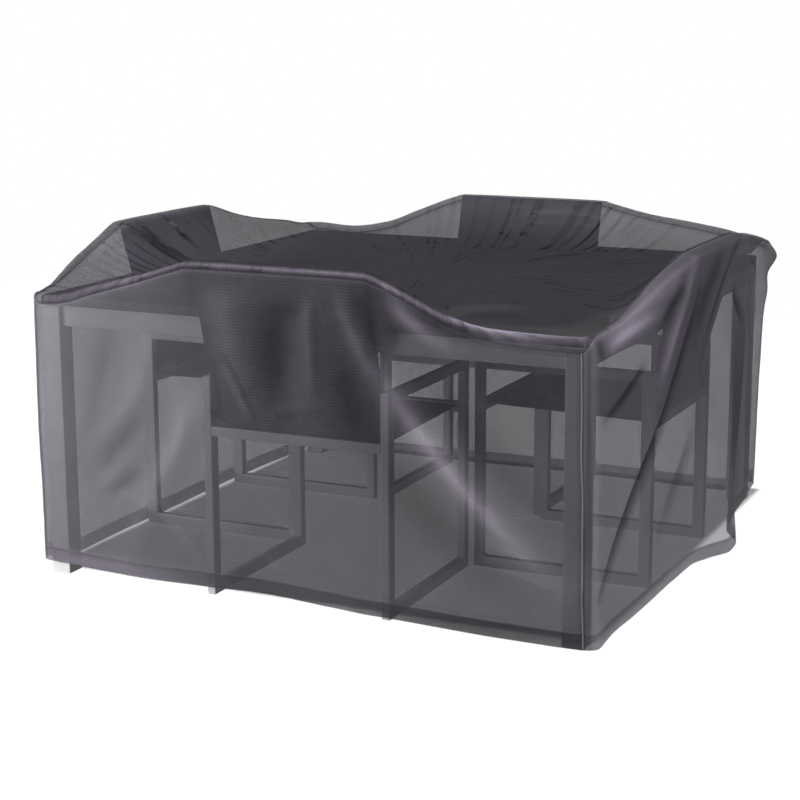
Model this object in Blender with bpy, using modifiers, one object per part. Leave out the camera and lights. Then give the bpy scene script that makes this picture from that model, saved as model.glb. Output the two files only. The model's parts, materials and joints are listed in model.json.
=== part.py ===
"""Sheer patio furniture cover draped over a square table and four armchairs, metres, +Z up.

The origin is on the ground under the middle of the whole outline. The cover is five sewn
panels: a square top and four sides, open below. The table and the chairs that it fits stand
under it. Until the last step of main, places are measured from the middle of the table.
Each side has its own plan axes: "along" runs left to right for someone who faces that side
from outside, and "out" runs from the middle of the table towards that person.
"""

import math
from collections import namedtuple

import bmesh
import bpy
import numpy as np
from mathutils import Matrix

# The middle of the whole outline in plan, from the middle of the table.
OUTLINE_CENTRE = (0.002, 0.018)

# Sizes of the furniture.
GAP = 0.0003
TABLE_SIDE = 1.485
TABLE_HEIGHT = 0.740
SLAB_THICKNESS = 0.0245
LEG_SIDE = 0.0545
APRON_HEIGHT = 0.0535
APRON_THICKNESS = 0.022
APRON_SETBACK = 0.010
CHAIR_WIDTH = 0.514
TUBE_WIDTH = 0.0235
CHAIR_BACK_FACE = 0.756
CHAIR_FRONT_FACE = 0.267
UPRIGHT_DEPTH = 0.0325
FRONT_LEG_DEPTH = 0.025
BASE_HEIGHT = 0.030
ARM_TOP = 0.566
ARM_HEIGHT = 0.026
BACK_TOP = 0.8645
BACK_TOP_OUT = 0.839
REAR_RAIL_Z = (0.415, 0.440)
FRONT_RAIL_Z = (0.425, 0.450)
SEAT_THICKNESS = 0.012
SEAT_SAG = 0.010
BACK_THICKNESS = 0.018
# The four chairs stand evenly round a point a little off the middle of the table.
CHAIRS_CENTRE = (-0.014, 0.018)

# Sizes of the cover.
CLOTH = 0.002
REST = TABLE_HEIGHT + GAP + CLOTH / 2
BEND = 0.012
SHELF = 0.22
CORNER_RADIUS = 0.030
SEAM_GAP = 0.0008
RISE_POWER = 1.7
SIDES = ("front", "right", "back", "left")

# One row for each upright section of a side. lift: how far in from the ridge the cloth leaves
# the table. ridge: the bend between top and side. seam: where the top panel is sewn to the side,
# along the cloth from the ridge, minus on the top and plus down the side. waist: half way down.
Section = namedtuple(
    "Section", "along lift ridge_out ridge_z seam waist_out hem_out hem_z"
)
SECTIONS = {
    "front": (
        Section(-0.650, 0.07, 0.780, 0.754, 0.016, 0.776, 0.776, 0.041),
        Section(-0.550, 0.13, 0.794, 0.783, 0.016, 0.781, 0.783, 0.038),
        Section(-0.405, 0.21, 0.814, 0.822, 0.016, 0.788, 0.787, 0.036),
        Section(-0.276, 0.26, 0.834, 0.860, 0.016, 0.798, 0.784, 0.037),
        Section(-0.251, 0.27, 0.837, 0.8663, 0.016, 0.800, 0.783, 0.037),
        Section(-0.100, 0.28, 0.838, 0.8675, 0.016, 0.810, 0.778, 0.039),
        Section(0.100, 0.28, 0.838, 0.8675, 0.016, 0.814, 0.788, 0.034),
        Section(0.223, 0.27, 0.837, 0.8663, 0.016, 0.809, 0.793, 0.029),
        Section(0.248, 0.26, 0.834, 0.859, 0.016, 0.806, 0.794, 0.029),
        Section(0.340, 0.19, 0.818, 0.817, 0.017, 0.798, 0.797, 0.028),
        Section(0.430, 0.12, 0.796, 0.774, 0.020, 0.792, 0.799, 0.026),
        Section(0.520, 0.07, 0.778, 0.752, 0.024, 0.786, 0.800, 0.024),
        Section(0.620, 0.05, 0.768, 0.7455, 0.028, 0.782, 0.799, 0.023),
    ),
    "right": (
        Section(-0.650, 0.06, 0.778, 0.757, -0.024, 0.781, 0.783, 0.025),
        Section(-0.520, 0.12, 0.796, 0.789, -0.036, 0.788, 0.791, 0.027),
        Section(-0.380, 0.19, 0.816, 0.828, -0.042, 0.800, 0.797, 0.028),
        Section(-0.245, 0.25, 0.839, 0.861, -0.044, 0.814, 0.801, 0.029),
        Section(-0.219, 0.27, 0.841, 0.8663, -0.044, 0.818, 0.802, 0.029),
        Section(-0.090, 0.28, 0.842, 0.8672, -0.044, 0.832, 0.808, 0.031),
        Section(-0.020, 0.28, 0.842, 0.8675, -0.044, 0.848, 0.836, 0.034),
        Section(0.060, 0.28, 0.842, 0.8675, -0.042, 0.855, 0.873, 0.036),
        Section(0.130, 0.28, 0.842, 0.8672, -0.042, 0.842, 0.868, 0.036),
        Section(0.255, 0.27, 0.841, 0.8663, -0.040, 0.817, 0.812, 0.038),
        Section(0.281, 0.26, 0.839, 0.862, -0.038, 0.812, 0.808, 0.039),
        Section(0.400, 0.22, 0.822, 0.846, -0.034, 0.790, 0.790, 0.041),
        Section(0.540, 0.17, 0.803, 0.823, -0.026, 0.778, 0.779, 0.044),
        Section(0.650, 0.12, 0.789, 0.804, -0.018, 0.769, 0.767, 0.045),
    ),
    "back": (
        Section(-0.650, 0.12, 0.794, 0.805, 0.016, 0.770, 0.768, 0.045),
        Section(-0.520, 0.17, 0.820, 0.821, 0.016, 0.777, 0.775, 0.044),
        Section(-0.400, 0.22, 0.842, 0.834, 0.016, 0.790, 0.784, 0.042),
        Section(-0.249, 0.26, 0.870, 0.8605, 0.016, 0.818, 0.790, 0.041),
        Section(-0.223, 0.27, 0.873, 0.8663, 0.016, 0.822, 0.790, 0.041),
        Section(-0.080, 0.29, 0.874, 0.8675, 0.016, 0.832, 0.792, 0.040),
        Section(0.110, 0.29, 0.874, 0.8675, 0.016, 0.828, 0.786, 0.040),
        Section(0.251, 0.27, 0.873, 0.8663, 0.016, 0.816, 0.780, 0.041),
        Section(0.277, 0.26, 0.870, 0.860, 0.016, 0.812, 0.780, 0.041),
        Section(0.400, 0.19, 0.836, 0.813, 0.016, 0.794, 0.783, 0.042),
        Section(0.500, 0.11, 0.808, 0.773, 0.016, 0.784, 0.782, 0.043),
        Section(0.620, 0.06, 0.786, 0.756, 0.015, 0.776, 0.776, 0.044),
    ),
    "left": (
        Section(-0.650, 0.08, 0.790, 0.780, -0.014, 0.774, 0.772, 0.045),
        Section(-0.500, 0.14, 0.818, 0.803, -0.020, 0.784, 0.780, 0.044),
        Section(-0.390, 0.20, 0.844, 0.828, -0.026, 0.796, 0.786, 0.043),
        Section(-0.281, 0.25, 0.867, 0.8605, -0.034, 0.808, 0.789, 0.042),
        Section(-0.255, 0.26, 0.869, 0.8663, -0.036, 0.811, 0.789, 0.042),
        Section(-0.090, 0.29, 0.871, 0.8680, -0.038, 0.822, 0.786, 0.042),
        Section(0.090, 0.29, 0.871, 0.8680, -0.038, 0.820, 0.782, 0.042),
        Section(0.219, 0.27, 0.869, 0.8663, -0.038, 0.811, 0.782, 0.042),
        Section(0.245, 0.26, 0.866, 0.861, -0.038, 0.808, 0.782, 0.042),
        Section(0.340, 0.22, 0.846, 0.839, -0.036, 0.796, 0.784, 0.042),
        Section(0.480, 0.16, 0.818, 0.805, -0.034, 0.784, 0.780, 0.042),
        Section(0.580, 0.11, 0.798, 0.776, -0.030, 0.777, 0.774, 0.042),
        Section(0.660, 0.06, 0.782, 0.750, -0.018, 0.770, 0.770, 0.042),
    ),
}

# One row for the corner at the right end of each side, with "out" the same on both sides, and
# the seam before, at and after it.
Corner = namedtuple(
    "Corner",
    "lift ridge_out ridge_z seam_before seam_at seam_after waist_out hem_out hem_z",
)
CORNERS = {
    "front": Corner(0.04, 0.762, 0.744, 0.030, 0.004, -0.014, 0.777, 0.790, 0.021),
    "right": Corner(0.07, 0.772, 0.786, -0.014, 0.000, 0.014, 0.759, 0.757, 0.046),
    "back": Corner(0.05, 0.768, 0.764, 0.014, 0.000, -0.012, 0.766, 0.768, 0.046),
    "left": Corner(0.04, 0.764, 0.744, -0.014, 0.000, 0.014, 0.766, 0.764, 0.042),
}

# One row for each fold of the side panels: it runs over three points, each its place along the
# side and its height. A plus height is a ridge that stands out, a minus one is a trough.
Fold = namedtuple("Fold", "side along_1 z_1 along_2 z_2 along_3 z_3 width height")
FOLDS = (
    Fold("right", -0.235, 0.800, -0.390, 0.480, -0.740, 0.180, 0.022, -0.020),
    Fold("right", -0.270, 0.800, -0.430, 0.690, -0.700, 0.560, 0.036, -0.018),
    Fold("right", -0.130, 0.560, -0.195, 0.411, -0.360, 0.160, 0.045, -0.020),
    Fold("right", -0.300, 0.640, -0.420, 0.350, -0.560, 0.120, 0.050, 0.008),
    Fold("right", 0.330, 0.700, 0.370, 0.450, 0.350, 0.100, 0.045, 0.016),
    Fold("right", 0.240, 0.600, 0.250, 0.350, 0.260, 0.060, 0.040, -0.012),
    Fold("front", 0.255, 0.640, 0.420, 0.414, 0.700, 0.157, 0.040, 0.018),
    Fold("front", 0.290, 0.780, 0.470, 0.500, 0.710, 0.300, 0.045, -0.014),
    Fold("front", 0.200, 0.480, 0.330, 0.280, 0.520, 0.110, 0.045, -0.012),
    Fold("front", -0.150, 0.640, -0.090, 0.520, 0.010, 0.420, 0.024, 0.008),
    Fold("front", -0.010, 0.740, 0.000, 0.620, 0.030, 0.500, 0.070, -0.012),
    Fold("front", -0.320, 0.700, -0.430, 0.470, -0.590, 0.250, 0.050, -0.012),
    Fold("front", -0.290, 0.560, -0.330, 0.330, -0.430, 0.120, 0.040, 0.010),
    Fold("back", -0.300, 0.760, -0.420, 0.500, -0.640, 0.200, 0.045, -0.016),
    Fold("back", 0.320, 0.760, 0.430, 0.480, 0.620, 0.180, 0.045, -0.016),
    Fold("back", 0.060, 0.640, 0.030, 0.400, 0.060, 0.120, 0.060, 0.012),
    Fold("left", -0.320, 0.760, -0.440, 0.500, -0.640, 0.220, 0.045, -0.016),
    Fold("left", 0.290, 0.760, 0.420, 0.500, 0.620, 0.230, 0.045, -0.014),
    Fold("left", 0.020, 0.620, -0.010, 0.380, -0.040, 0.110, 0.060, 0.012),
)

# The corner behind on the right stands proud of the table in a stiff pouch.
POUCH_Z = 0.738
POUCH_HALF_HEIGHT = 0.034
POUCH_REACH = 0.090
POUCH_OUT = 0.040

# Where the cloth is divided, as distances from the top seam, in and down.
TOP_STEPS = (0.0, 0.009, 0.020, 0.036, 0.060, 0.095, 0.17)
SIDE_STEPS = (0.0, 0.012, 0.025, 0.043, 0.068, 0.11, 0.18)
SIDE_STEPS_BELOW = 4


def clear_scene():
    """Remove what the new scene holds."""
    for item in list(bpy.data.objects):
        bpy.data.objects.remove(item, do_unlink=True)
    for mesh in list(bpy.data.meshes):
        bpy.data.meshes.remove(mesh)


def make_material(name, colour, roughness, metallic=0.0):
    """A plain surface of one colour."""
    material = bpy.data.materials.new(name)
    material.use_nodes = True
    shader = material.node_tree.nodes["Principled BSDF"]
    shader.inputs["Base Color"].default_value = (*colour, 1.0)
    shader.inputs["Roughness"].default_value = roughness
    shader.inputs["Metallic"].default_value = metallic
    return material


def side_turn(side, centre=(0.0, 0.0)):
    """The turn about Z, and the shift, that bring what is made for the front to a side."""
    turn = Matrix.Rotation(math.radians(90 * SIDES.index(side)), 4, "Z")
    return Matrix.Translation((*centre, 0)) @ turn


def finish(item, collection, material, bevel=0.0, weld=False):
    """Link an object, give it its material and round its edges."""
    collection.objects.link(item)
    item.data.materials.append(material)
    if weld:
        join = item.modifiers.new("weld", "WELD")
        join.merge_threshold = 0.00005
    if bevel:
        edge = item.modifiers.new("rounded edges", "BEVEL")
        edge.width = bevel
        edge.segments = 2
        edge.limit_method = "ANGLE"
        edge.angle_limit = math.radians(40)
    return item


def box(name, size, centre, turn, collection, material, bevel):
    """A box of the given size, centred in the axes of its side."""
    mesh = bpy.data.meshes.new(name)
    body = bmesh.new()
    bmesh.ops.create_cube(body, size=1.0)
    bmesh.ops.scale(body, vec=size, verts=body.verts)
    body.to_mesh(mesh)
    body.free()
    item = bpy.data.objects.new(name, mesh)
    item.matrix_world = turn @ Matrix.Translation(centre)
    return finish(item, collection, material, bevel)


def plate(name, outlines, thickness, along, turn, collection, material, bevel):
    """An upright plate from an outline of out and height values, its middle at along."""
    curve = bpy.data.curves.new(name, "CURVE")
    curve.dimensions = "2D"
    curve.fill_mode = "BOTH"
    curve.extrude = thickness / 2
    for outline in outlines:
        spline = curve.splines.new("POLY")
        spline.points.add(len(outline) - 1)
        for point, (out, height) in zip(spline.points, outline):
            point.co = (out, height, 0.0, 1.0)
        spline.use_cyclic_u = True
    item = bpy.data.objects.new(name, curve)
    upright = Matrix(((0, 0, -1, 0), (-1, 0, 0, 0), (0, 1, 0, 0), (0, 0, 0, 1)))
    item.matrix_world = turn @ Matrix.Translation((along, 0, 0)) @ upright
    return finish(item, collection, material, bevel, weld=True)


def build_table(collection, slab_look, frame_look):
    """The square table: a slab on four legs with an apron rail between each two."""
    half = TABLE_SIDE / 2
    under = TABLE_HEIGHT - SLAB_THICKNESS
    box(
        "table_top",
        (TABLE_SIDE, TABLE_SIDE, SLAB_THICKNESS),
        (0, 0, under + SLAB_THICKNESS / 2),
        Matrix(),
        collection,
        slab_look,
        0.003,
    )
    leg_height = under - GAP
    rail_length = TABLE_SIDE - 2 * LEG_SIDE - 2 * GAP
    rail_z = leg_height - APRON_HEIGHT / 2
    rail_out = half - APRON_SETBACK - APRON_THICKNESS / 2
    middle = half - LEG_SIDE / 2
    for side in SIDES:
        box(
            f"table_leg_{side}",
            (LEG_SIDE, LEG_SIDE, leg_height),
            (middle, -middle, leg_height / 2),
            side_turn(side),
            collection,
            frame_look,
            0.002,
        )
        box(
            f"table_apron_{side}",
            (rail_length, APRON_THICKNESS, APRON_HEIGHT),
            (0, -rail_out, rail_z),
            side_turn(side),
            collection,
            frame_look,
            0.001,
        )


def side_frame_outlines():
    """The outline of a chair's side frame and of the opening in it."""
    outer = (
        (CHAIR_FRONT_FACE, 0.0),
        (CHAIR_BACK_FACE, 0.0),
        (CHAIR_BACK_FACE, ARM_TOP),
        (CHAIR_FRONT_FACE, ARM_TOP),
    )
    inner = (
        (CHAIR_FRONT_FACE + FRONT_LEG_DEPTH, BASE_HEIGHT),
        (CHAIR_BACK_FACE - UPRIGHT_DEPTH, BASE_HEIGHT),
        (CHAIR_BACK_FACE - UPRIGHT_DEPTH, ARM_TOP - ARM_HEIGHT),
        (CHAIR_FRONT_FACE + FRONT_LEG_DEPTH, ARM_TOP - ARM_HEIGHT),
    )
    return outer, inner


def back_panel_outline():
    """The section of a chair's back: upright to the arms and leaning out above them."""
    foot = REAR_RAIL_Z[1] + GAP
    return (
        (
            (CHAIR_BACK_FACE, foot),
            (CHAIR_BACK_FACE, ARM_TOP),
            (BACK_TOP_OUT, BACK_TOP),
            (BACK_TOP_OUT - BACK_THICKNESS, BACK_TOP),
            (CHAIR_BACK_FACE - BACK_THICKNESS, ARM_TOP),
            (CHAIR_BACK_FACE - BACK_THICKNESS, foot),
        ),
    )


def build_seat(name, width, turn, collection, material):
    """A chair's seat panel: it slopes down to the back and sags a little."""
    near = CHAIR_FRONT_FACE + FRONT_LEG_DEPTH + 3 * GAP
    far = CHAIR_BACK_FACE - UPRIGHT_DEPTH - 3 * GAP
    near_z = FRONT_RAIL_Z[1] - SEAT_THICKNESS / 2
    far_z = REAR_RAIL_Z[1] - SEAT_THICKNESS / 2
    mesh = bpy.data.meshes.new(name)
    sheet = bmesh.new()
    bmesh.ops.create_grid(sheet, x_segments=6, y_segments=6, size=0.5)
    for vertex in sheet.verts:
        across, back = 2 * vertex.co.x, vertex.co.y + 0.5
        sag = SEAT_SAG * (1 - across**2) * math.sin(math.pi * back)
        vertex.co = (
            vertex.co.x * width,
            -(near + (far - near) * back),
            near_z + (far_z - near_z) * back - sag,
        )
    bmesh.ops.recalc_face_normals(sheet, faces=sheet.faces)
    sheet.to_mesh(mesh)
    sheet.free()
    item = bpy.data.objects.new(name, mesh)
    item.matrix_world = turn
    finish(item, collection, material)
    shell = item.modifiers.new("seat thickness", "SOLIDIFY")
    shell.thickness = SEAT_THICKNESS - 0.001
    shell.offset = 0.0
    return item


def build_chair(side, collection, frame_look, mesh_look):
    """The armchair pushed in at one side, its back towards the viewer of that side."""
    turn = side_turn(side, CHAIRS_CENTRE)
    reach = (CHAIR_WIDTH - TUBE_WIDTH) / 2
    clear_width = CHAIR_WIDTH - 2 * TUBE_WIDTH - 2 * GAP
    for hand, sign in (("left", -1), ("right", 1)):
        plate(
            f"chair_{side}_frame_{hand}",
            side_frame_outlines(),
            TUBE_WIDTH,
            sign * reach,
            turn,
            collection,
            frame_look,
            0.003,
        )
    rails = (
        ("rear", CHAIR_BACK_FACE - UPRIGHT_DEPTH / 2, UPRIGHT_DEPTH, REAR_RAIL_Z),
        ("front", CHAIR_FRONT_FACE + FRONT_LEG_DEPTH / 2, FRONT_LEG_DEPTH, FRONT_RAIL_Z),
    )
    for end, out, depth, (low, high) in rails:
        box(
            f"chair_{side}_rail_{end}",
            (clear_width, depth, high - low),
            (0, -out, (low + high) / 2),
            turn,
            collection,
            frame_look,
            0.0015,
        )
    build_seat(f"chair_{side}_seat", clear_width, turn, collection, mesh_look)
    plate(
        f"chair_{side}_back",
        back_panel_outline(),
        clear_width,
        0,
        turn,
        collection,
        mesh_look,
        0.004,
    )


def plan_point(side, along, out):
    """The place in plan of a point of a side."""
    turn = math.radians(90 * SIDES.index(side))
    cosine, sine = round(math.cos(turn)), round(math.sin(turn))
    return np.array((along * cosine + out * sine, along * sine - out * cosine))


def station(side, row, seam, corner=None):
    """The lift, ridge, waist and hem points of one upright section, and its seam distance."""

    def point(out, height):
        if corner is None:
            place = (row.along, out)
        elif corner == "mid":
            inset = CORNER_RADIUS * (1 - math.sqrt(0.5))
            place = (out - inset, out - inset)
        else:
            place = (corner * (out - CORNER_RADIUS), out)
        return np.append(plan_point(side, *place), height)

    ridge = point(row.ridge_out, row.ridge_z)
    lift = ridge * (1 - row.lift / row.ridge_out)
    lift[2] = REST
    waist = point(row.waist_out, (row.ridge_z + row.hem_z) / 2)
    hem = point(row.hem_out, row.hem_z)
    return np.concatenate((lift, ridge, waist, hem, (seam,)))


def all_stations():
    """The sections round the cover from the middle of the left corner, and the seam places."""
    rows, seams = [], []
    for side in SIDES:
        before = SIDES[SIDES.index(side) - 1]
        corner, corner_next = CORNERS[before], CORNERS[side]
        rows.append(station(before, corner, corner.seam_at, "mid"))
        rows.append(station(side, corner, corner.seam_after, -1))
        rows += [station(side, row, row.seam) for row in SECTIONS[side]]
        seams.append(len(rows))
        rows.append(station(side, corner_next, corner_next.seam_before, 1))
    return np.array(rows), seams


def smooth_loop(rows, places):
    """Values at fractional places round a closed loop of rows, with no overshoot."""
    step = np.roll(rows, -1, 0) - rows
    length = np.linalg.norm(step[:, 3:6], axis=1)[:, None]
    slope = step / length
    before, length_before = np.roll(slope, 1, 0), np.roll(length, 1, 0)
    weight_1 = 2 * length + length_before
    weight_2 = length + 2 * length_before
    same = before * slope > 0
    safe = np.where(same, slope * before, 1.0)
    mean = (weight_1 + weight_2) * safe
    mean = mean / np.where(same, weight_1 * slope + weight_2 * before, 1.0)
    tangent = np.where(same, mean, 0.0)
    index = np.floor(places).astype(int) % len(rows)
    after = (index + 1) % len(rows)
    part = (places - np.floor(places))[:, None]
    part_2, part_3 = part**2, part**3
    return (
        (2 * part_3 - 3 * part_2 + 1) * rows[index]
        + (part_3 - 2 * part_2 + part) * length[index] * tangent[index]
        + (3 * part_2 - 2 * part_3) * rows[after]
        + (part_3 - part_2) * length[index] * tangent[after]
    )


def round_off(before, corner, after, reach):
    """Points of a soft bend that replaces a corner, given the lines that meet there."""

    def at(line):
        way = np.append(0, np.cumsum(np.linalg.norm(np.diff(line, axis=0), axis=1)))
        place = min(reach, 0.45 * way[-1])
        point = [np.interp(place, way, line[:, axis]) for axis in range(3)]
        return np.array(point), line[way > place]

    start, rest_before = at(np.vstack((corner, before[::-1])))
    end, rest_after = at(np.vstack((corner, after)))
    turn = np.linspace(0, 1, 9)[:, None]
    bend = (1 - turn) ** 2 * start + 2 * turn * (1 - turn) * corner + turn**2 * end
    return rest_before[::-1], bend, rest_after


def profile(values):
    """The cloth's line down one section, from where it leaves the table to the hem, and the
    index of its ridge. It climbs to a shelf, crosses that to the ridge and hangs from there."""
    lift, ridge, waist, hem = values[0:3], values[3:6], values[6:9], values[9:12]
    shelf = ridge + (lift - ridge) * SHELF
    shelf[2] = ridge[2]
    rise = np.linspace(0, 1, 40)[:, None]
    climb = lift + (shelf - lift) * rise
    climb[:, 2] = lift[2] + (shelf[2] - lift[2]) * rise[:, 0] ** RISE_POWER
    fall = np.linspace(0, 1, 90)[:, None]
    hanging = (
        ridge * (1 - fall) * (1 - 2 * fall)
        + waist * 4 * fall * (1 - fall)
        + hem * fall * (2 * fall - 1)
    )
    level = np.linspace(shelf, ridge, 7)
    climb, inner_bend, level = round_off(climb[:-1], shelf, level[1:], BEND)
    level, outer_bend, hanging = round_off(level[:-1], ridge, hanging[1:], BEND)
    line = np.concatenate((climb, inner_bend, level, outer_bend, hanging))
    return line, len(climb) + len(inner_bend) + len(level) + len(outer_bend) // 2


def walk(line, origin, distances):
    """Points on a line at distances from one of its points, minus before it."""
    way = np.append(0, np.cumsum(np.linalg.norm(np.diff(line, axis=0), axis=1)))
    way -= way[origin]
    points = [np.interp(distances, way, line[:, axis]) for axis in range(3)]
    return np.stack(points, axis=1), way[0], way[-1]


def fold_push(points, side):
    """How far the folds of a side push its cloth out at each point."""
    turn = np.array([plan_point(side, 1, 0), plan_point(side, 0, 1)])
    along, height = points[:, :2] @ turn[0], points[:, 2]
    push = np.zeros(len(points))
    for fold in FOLDS:
        if fold.side != side:
            continue
        step = np.linspace(0, 1, 25)
        bends = ((1 - step) ** 2, 2 * step * (1 - step), step**2)
        middle_along = 2 * fold.along_2 - (fold.along_1 + fold.along_3) / 2
        middle_z = 2 * fold.z_2 - (fold.z_1 + fold.z_3) / 2
        line_along = bends[0] * fold.along_1 + bends[1] * middle_along + bends[2] * fold.along_3
        line_z = bends[0] * fold.z_1 + bends[1] * middle_z + bends[2] * fold.z_3
        away = np.hypot(along[:, None] - line_along, height[:, None] - line_z)
        nearest = away.argmin(axis=1)
        fade = np.sin(np.pi * np.clip(step[nearest], 0.04, 0.96)) ** 0.6
        push += fold.height * fade * np.exp(-((away.min(axis=1) / fold.width) ** 2))
    return push


def shape_side(points):
    """Add the folds and the corner pouch to points of the hanging cloth."""
    shaped = points.copy()
    for side in SIDES:
        outward = plan_point(side, 0, 1)
        out = points[:, :2] @ outward
        across = np.abs(points[:, :2] @ plan_point(side, 1, 0))
        belongs = out >= across
        push = fold_push(points, side) * np.clip((0.80 - points[:, 2]) / 0.06, 0, 1)
        shaped[:, :2] += np.where(belongs, push, 0.0)[:, None] * outward
    corner = np.array((1.0, 1.0)) * 0.775
    away = np.linalg.norm(points[:, :2] - corner, axis=1)
    height = (points[:, 2] - POUCH_Z) / POUCH_HALF_HEIGHT
    pouch = POUCH_OUT * np.exp(-((away / POUCH_REACH) ** 2) - height**2)
    shaped[:, :2] += pouch[:, None] * math.sqrt(0.5)
    return shaped


def seam_clearance(seam):
    """Half the gap at the top seam, wider where the seam lies in the bend of the ridge."""
    return SEAM_GAP / 2 + 0.25 * CLOTH * max(0.0, 1 - abs(seam) / (3 * BEND))


def cloth_points(rows, places, from_seam):
    """A grid of cloth points: a row for each place round the cover, a column for each distance
    down from the seam."""
    grid = []
    for values in smooth_loop(rows, places):
        line, origin = profile(values)
        distances = np.asarray(from_seam(values, line, origin))
        points, _, _ = walk(line, origin, distances)
        grid.append(points)
    grid = np.array(grid)
    shape = grid.shape
    return shape_side(grid.reshape(-1, 3)).reshape(shape)


def sheet_object(name, body, collection, material):
    """A thin closed sheet on the faces of body."""
    bmesh.ops.recalc_face_normals(body, faces=body.faces)
    mesh = bpy.data.meshes.new(name)
    body.to_mesh(mesh)
    body.free()
    mesh.shade_smooth()
    item = bpy.data.objects.new(name, mesh)
    finish(item, collection, material)
    shell = item.modifiers.new("cloth thickness", "SOLIDIFY")
    shell.thickness = CLOTH
    shell.offset = 0.0
    return item


def build_top(rows, collection, material):
    """The top panel: flat on the table and rising to the backs of the chairs."""
    places = np.arange(0, len(rows), 0.5)

    def distances(values, line, origin):
        way = np.append(0, np.cumsum(np.linalg.norm(np.diff(line, axis=0), axis=1)))
        seam = values[12] - seam_clearance(values[12])
        inner = -way[origin]
        room = seam - inner
        steps = np.array(TOP_STEPS) * min(1.0, 0.8 * room / TOP_STEPS[-1])
        return np.append(seam - steps, inner)

    grid = cloth_points(rows, places, distances)
    body = bmesh.new()
    rings = [[body.verts.new(grid[i, j]) for i in range(len(places))]
             for j in range(grid.shape[1])]
    count = len(places)
    for outer, inner in zip(rings, rings[1:]):
        for i in range(count):
            after = (i + 1) % count
            body.faces.new((outer[i], outer[after], inner[after], inner[i]))
    middle = body.verts.new((0, 0, REST))
    for i in range(count):
        body.faces.new((rings[-1][i], rings[-1][(i + 1) % count], middle))
    return sheet_object("cover_top_panel", body, collection, material)


def build_side(side, start, end, rows, collection, material):
    """A side panel, from the upright seam before its left corner to the one before its right."""
    places = np.arange(start, end + 0.01, 0.5)
    width = np.linalg.norm(rows[(end + 1) % len(rows), 3:6] - rows[end, 3:6])
    places[0] += SEAM_GAP / 2 / width
    places[-1] -= SEAM_GAP / 2 / width

    def distances(values, line, origin):
        way = np.append(0, np.cumsum(np.linalg.norm(np.diff(line, axis=0), axis=1)))
        seam = values[12] + seam_clearance(values[12])
        hem = way[-1] - way[origin]
        near = seam + np.array(SIDE_STEPS)
        below = np.linspace(near[-1], hem, SIDE_STEPS_BELOW + 1)[1:]
        return np.append(near, below)

    grid = cloth_points(rows, places % len(rows), distances)
    columns, steps = grid.shape[:2]
    body = bmesh.new()
    bmesh.ops.create_grid(body, x_segments=columns - 1, y_segments=steps - 1, size=1.0)
    for vertex in body.verts:
        i = round((vertex.co.x + 1) / 2 * (columns - 1))
        j = round((vertex.co.y + 1) / 2 * (steps - 1))
        vertex.co = grid[i, j]
    return sheet_object(f"cover_{side}_panel", body, collection, material)


def build_cover(collection, material):
    """The five panels of the cover."""
    rows, seams = all_stations()
    build_top(rows, collection, material)
    for index, side in enumerate(SIDES):
        start = seams[index - 1] - (len(rows) if index == 0 else 0)
        build_side(side, start, seams[index], rows, collection, material)


def main():
    """Build the furniture and the cover, and bring the middle of the outline to the origin."""
    clear_scene()
    collection = bpy.data.collections.new("patio_furniture_cover")
    bpy.context.scene.collection.children.link(collection)
    frame_look = make_material("pale_powder_coat", (0.62, 0.62, 0.63), 0.45, 0.2)
    slab_look = make_material("dark_table_top", (0.045, 0.045, 0.050), 0.5)
    mesh_look = make_material("dark_seat_mesh", (0.030, 0.030, 0.033), 0.8)
    cloth_look = make_material("charcoal_sheer_cloth", (0.085, 0.080, 0.090), 0.75)
    build_table(collection, slab_look, frame_look)
    for side in SIDES:
        build_chair(side, collection, frame_look, mesh_look)
    build_cover(collection, cloth_look)
    shift = Matrix.Translation((-OUTLINE_CENTRE[0], -OUTLINE_CENTRE[1], 0))
    for item in collection.objects:
        item.matrix_world = shift @ item.matrix_world


main()
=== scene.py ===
"""Looks of a sheer patio furniture cover draped over a square table and four armchairs.

Metres, +Z up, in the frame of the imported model. The cover is five sewn panels with a folded
hem, piped seams and rows of stitches. The table and the frames of the chairs keep their solids
and get their finishes here. The chairs get stretched slings, and bars beside their backs.
Places on the cover are measured from the middle of the table, and places on a chair from the
middle of the four chairs: "along" runs left to right for someone who faces a side from
outside, and "out" runs from the middle towards that person.
"""

import json
import math
from collections import namedtuple

import bmesh
import bpy
import numpy as np
from mathutils import Matrix, Vector, noise

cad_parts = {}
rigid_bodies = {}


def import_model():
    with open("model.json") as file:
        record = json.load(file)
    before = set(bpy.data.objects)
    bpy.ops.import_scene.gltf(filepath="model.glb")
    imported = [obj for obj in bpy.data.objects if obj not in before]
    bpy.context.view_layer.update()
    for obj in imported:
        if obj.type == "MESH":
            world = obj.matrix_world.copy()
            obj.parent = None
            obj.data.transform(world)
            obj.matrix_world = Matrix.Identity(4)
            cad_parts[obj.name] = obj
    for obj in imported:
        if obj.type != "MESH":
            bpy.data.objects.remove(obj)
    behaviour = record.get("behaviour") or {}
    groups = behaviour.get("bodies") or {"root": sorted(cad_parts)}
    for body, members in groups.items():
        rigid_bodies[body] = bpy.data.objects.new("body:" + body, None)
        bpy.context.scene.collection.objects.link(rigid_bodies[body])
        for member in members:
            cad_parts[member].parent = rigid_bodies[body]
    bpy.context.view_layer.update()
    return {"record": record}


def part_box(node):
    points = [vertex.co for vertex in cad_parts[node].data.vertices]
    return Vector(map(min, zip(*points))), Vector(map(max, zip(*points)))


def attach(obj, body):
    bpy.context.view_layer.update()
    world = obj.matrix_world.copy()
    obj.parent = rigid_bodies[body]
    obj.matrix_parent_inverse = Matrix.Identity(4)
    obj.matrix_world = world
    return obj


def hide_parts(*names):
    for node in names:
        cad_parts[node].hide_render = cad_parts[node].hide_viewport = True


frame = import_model()

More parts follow.
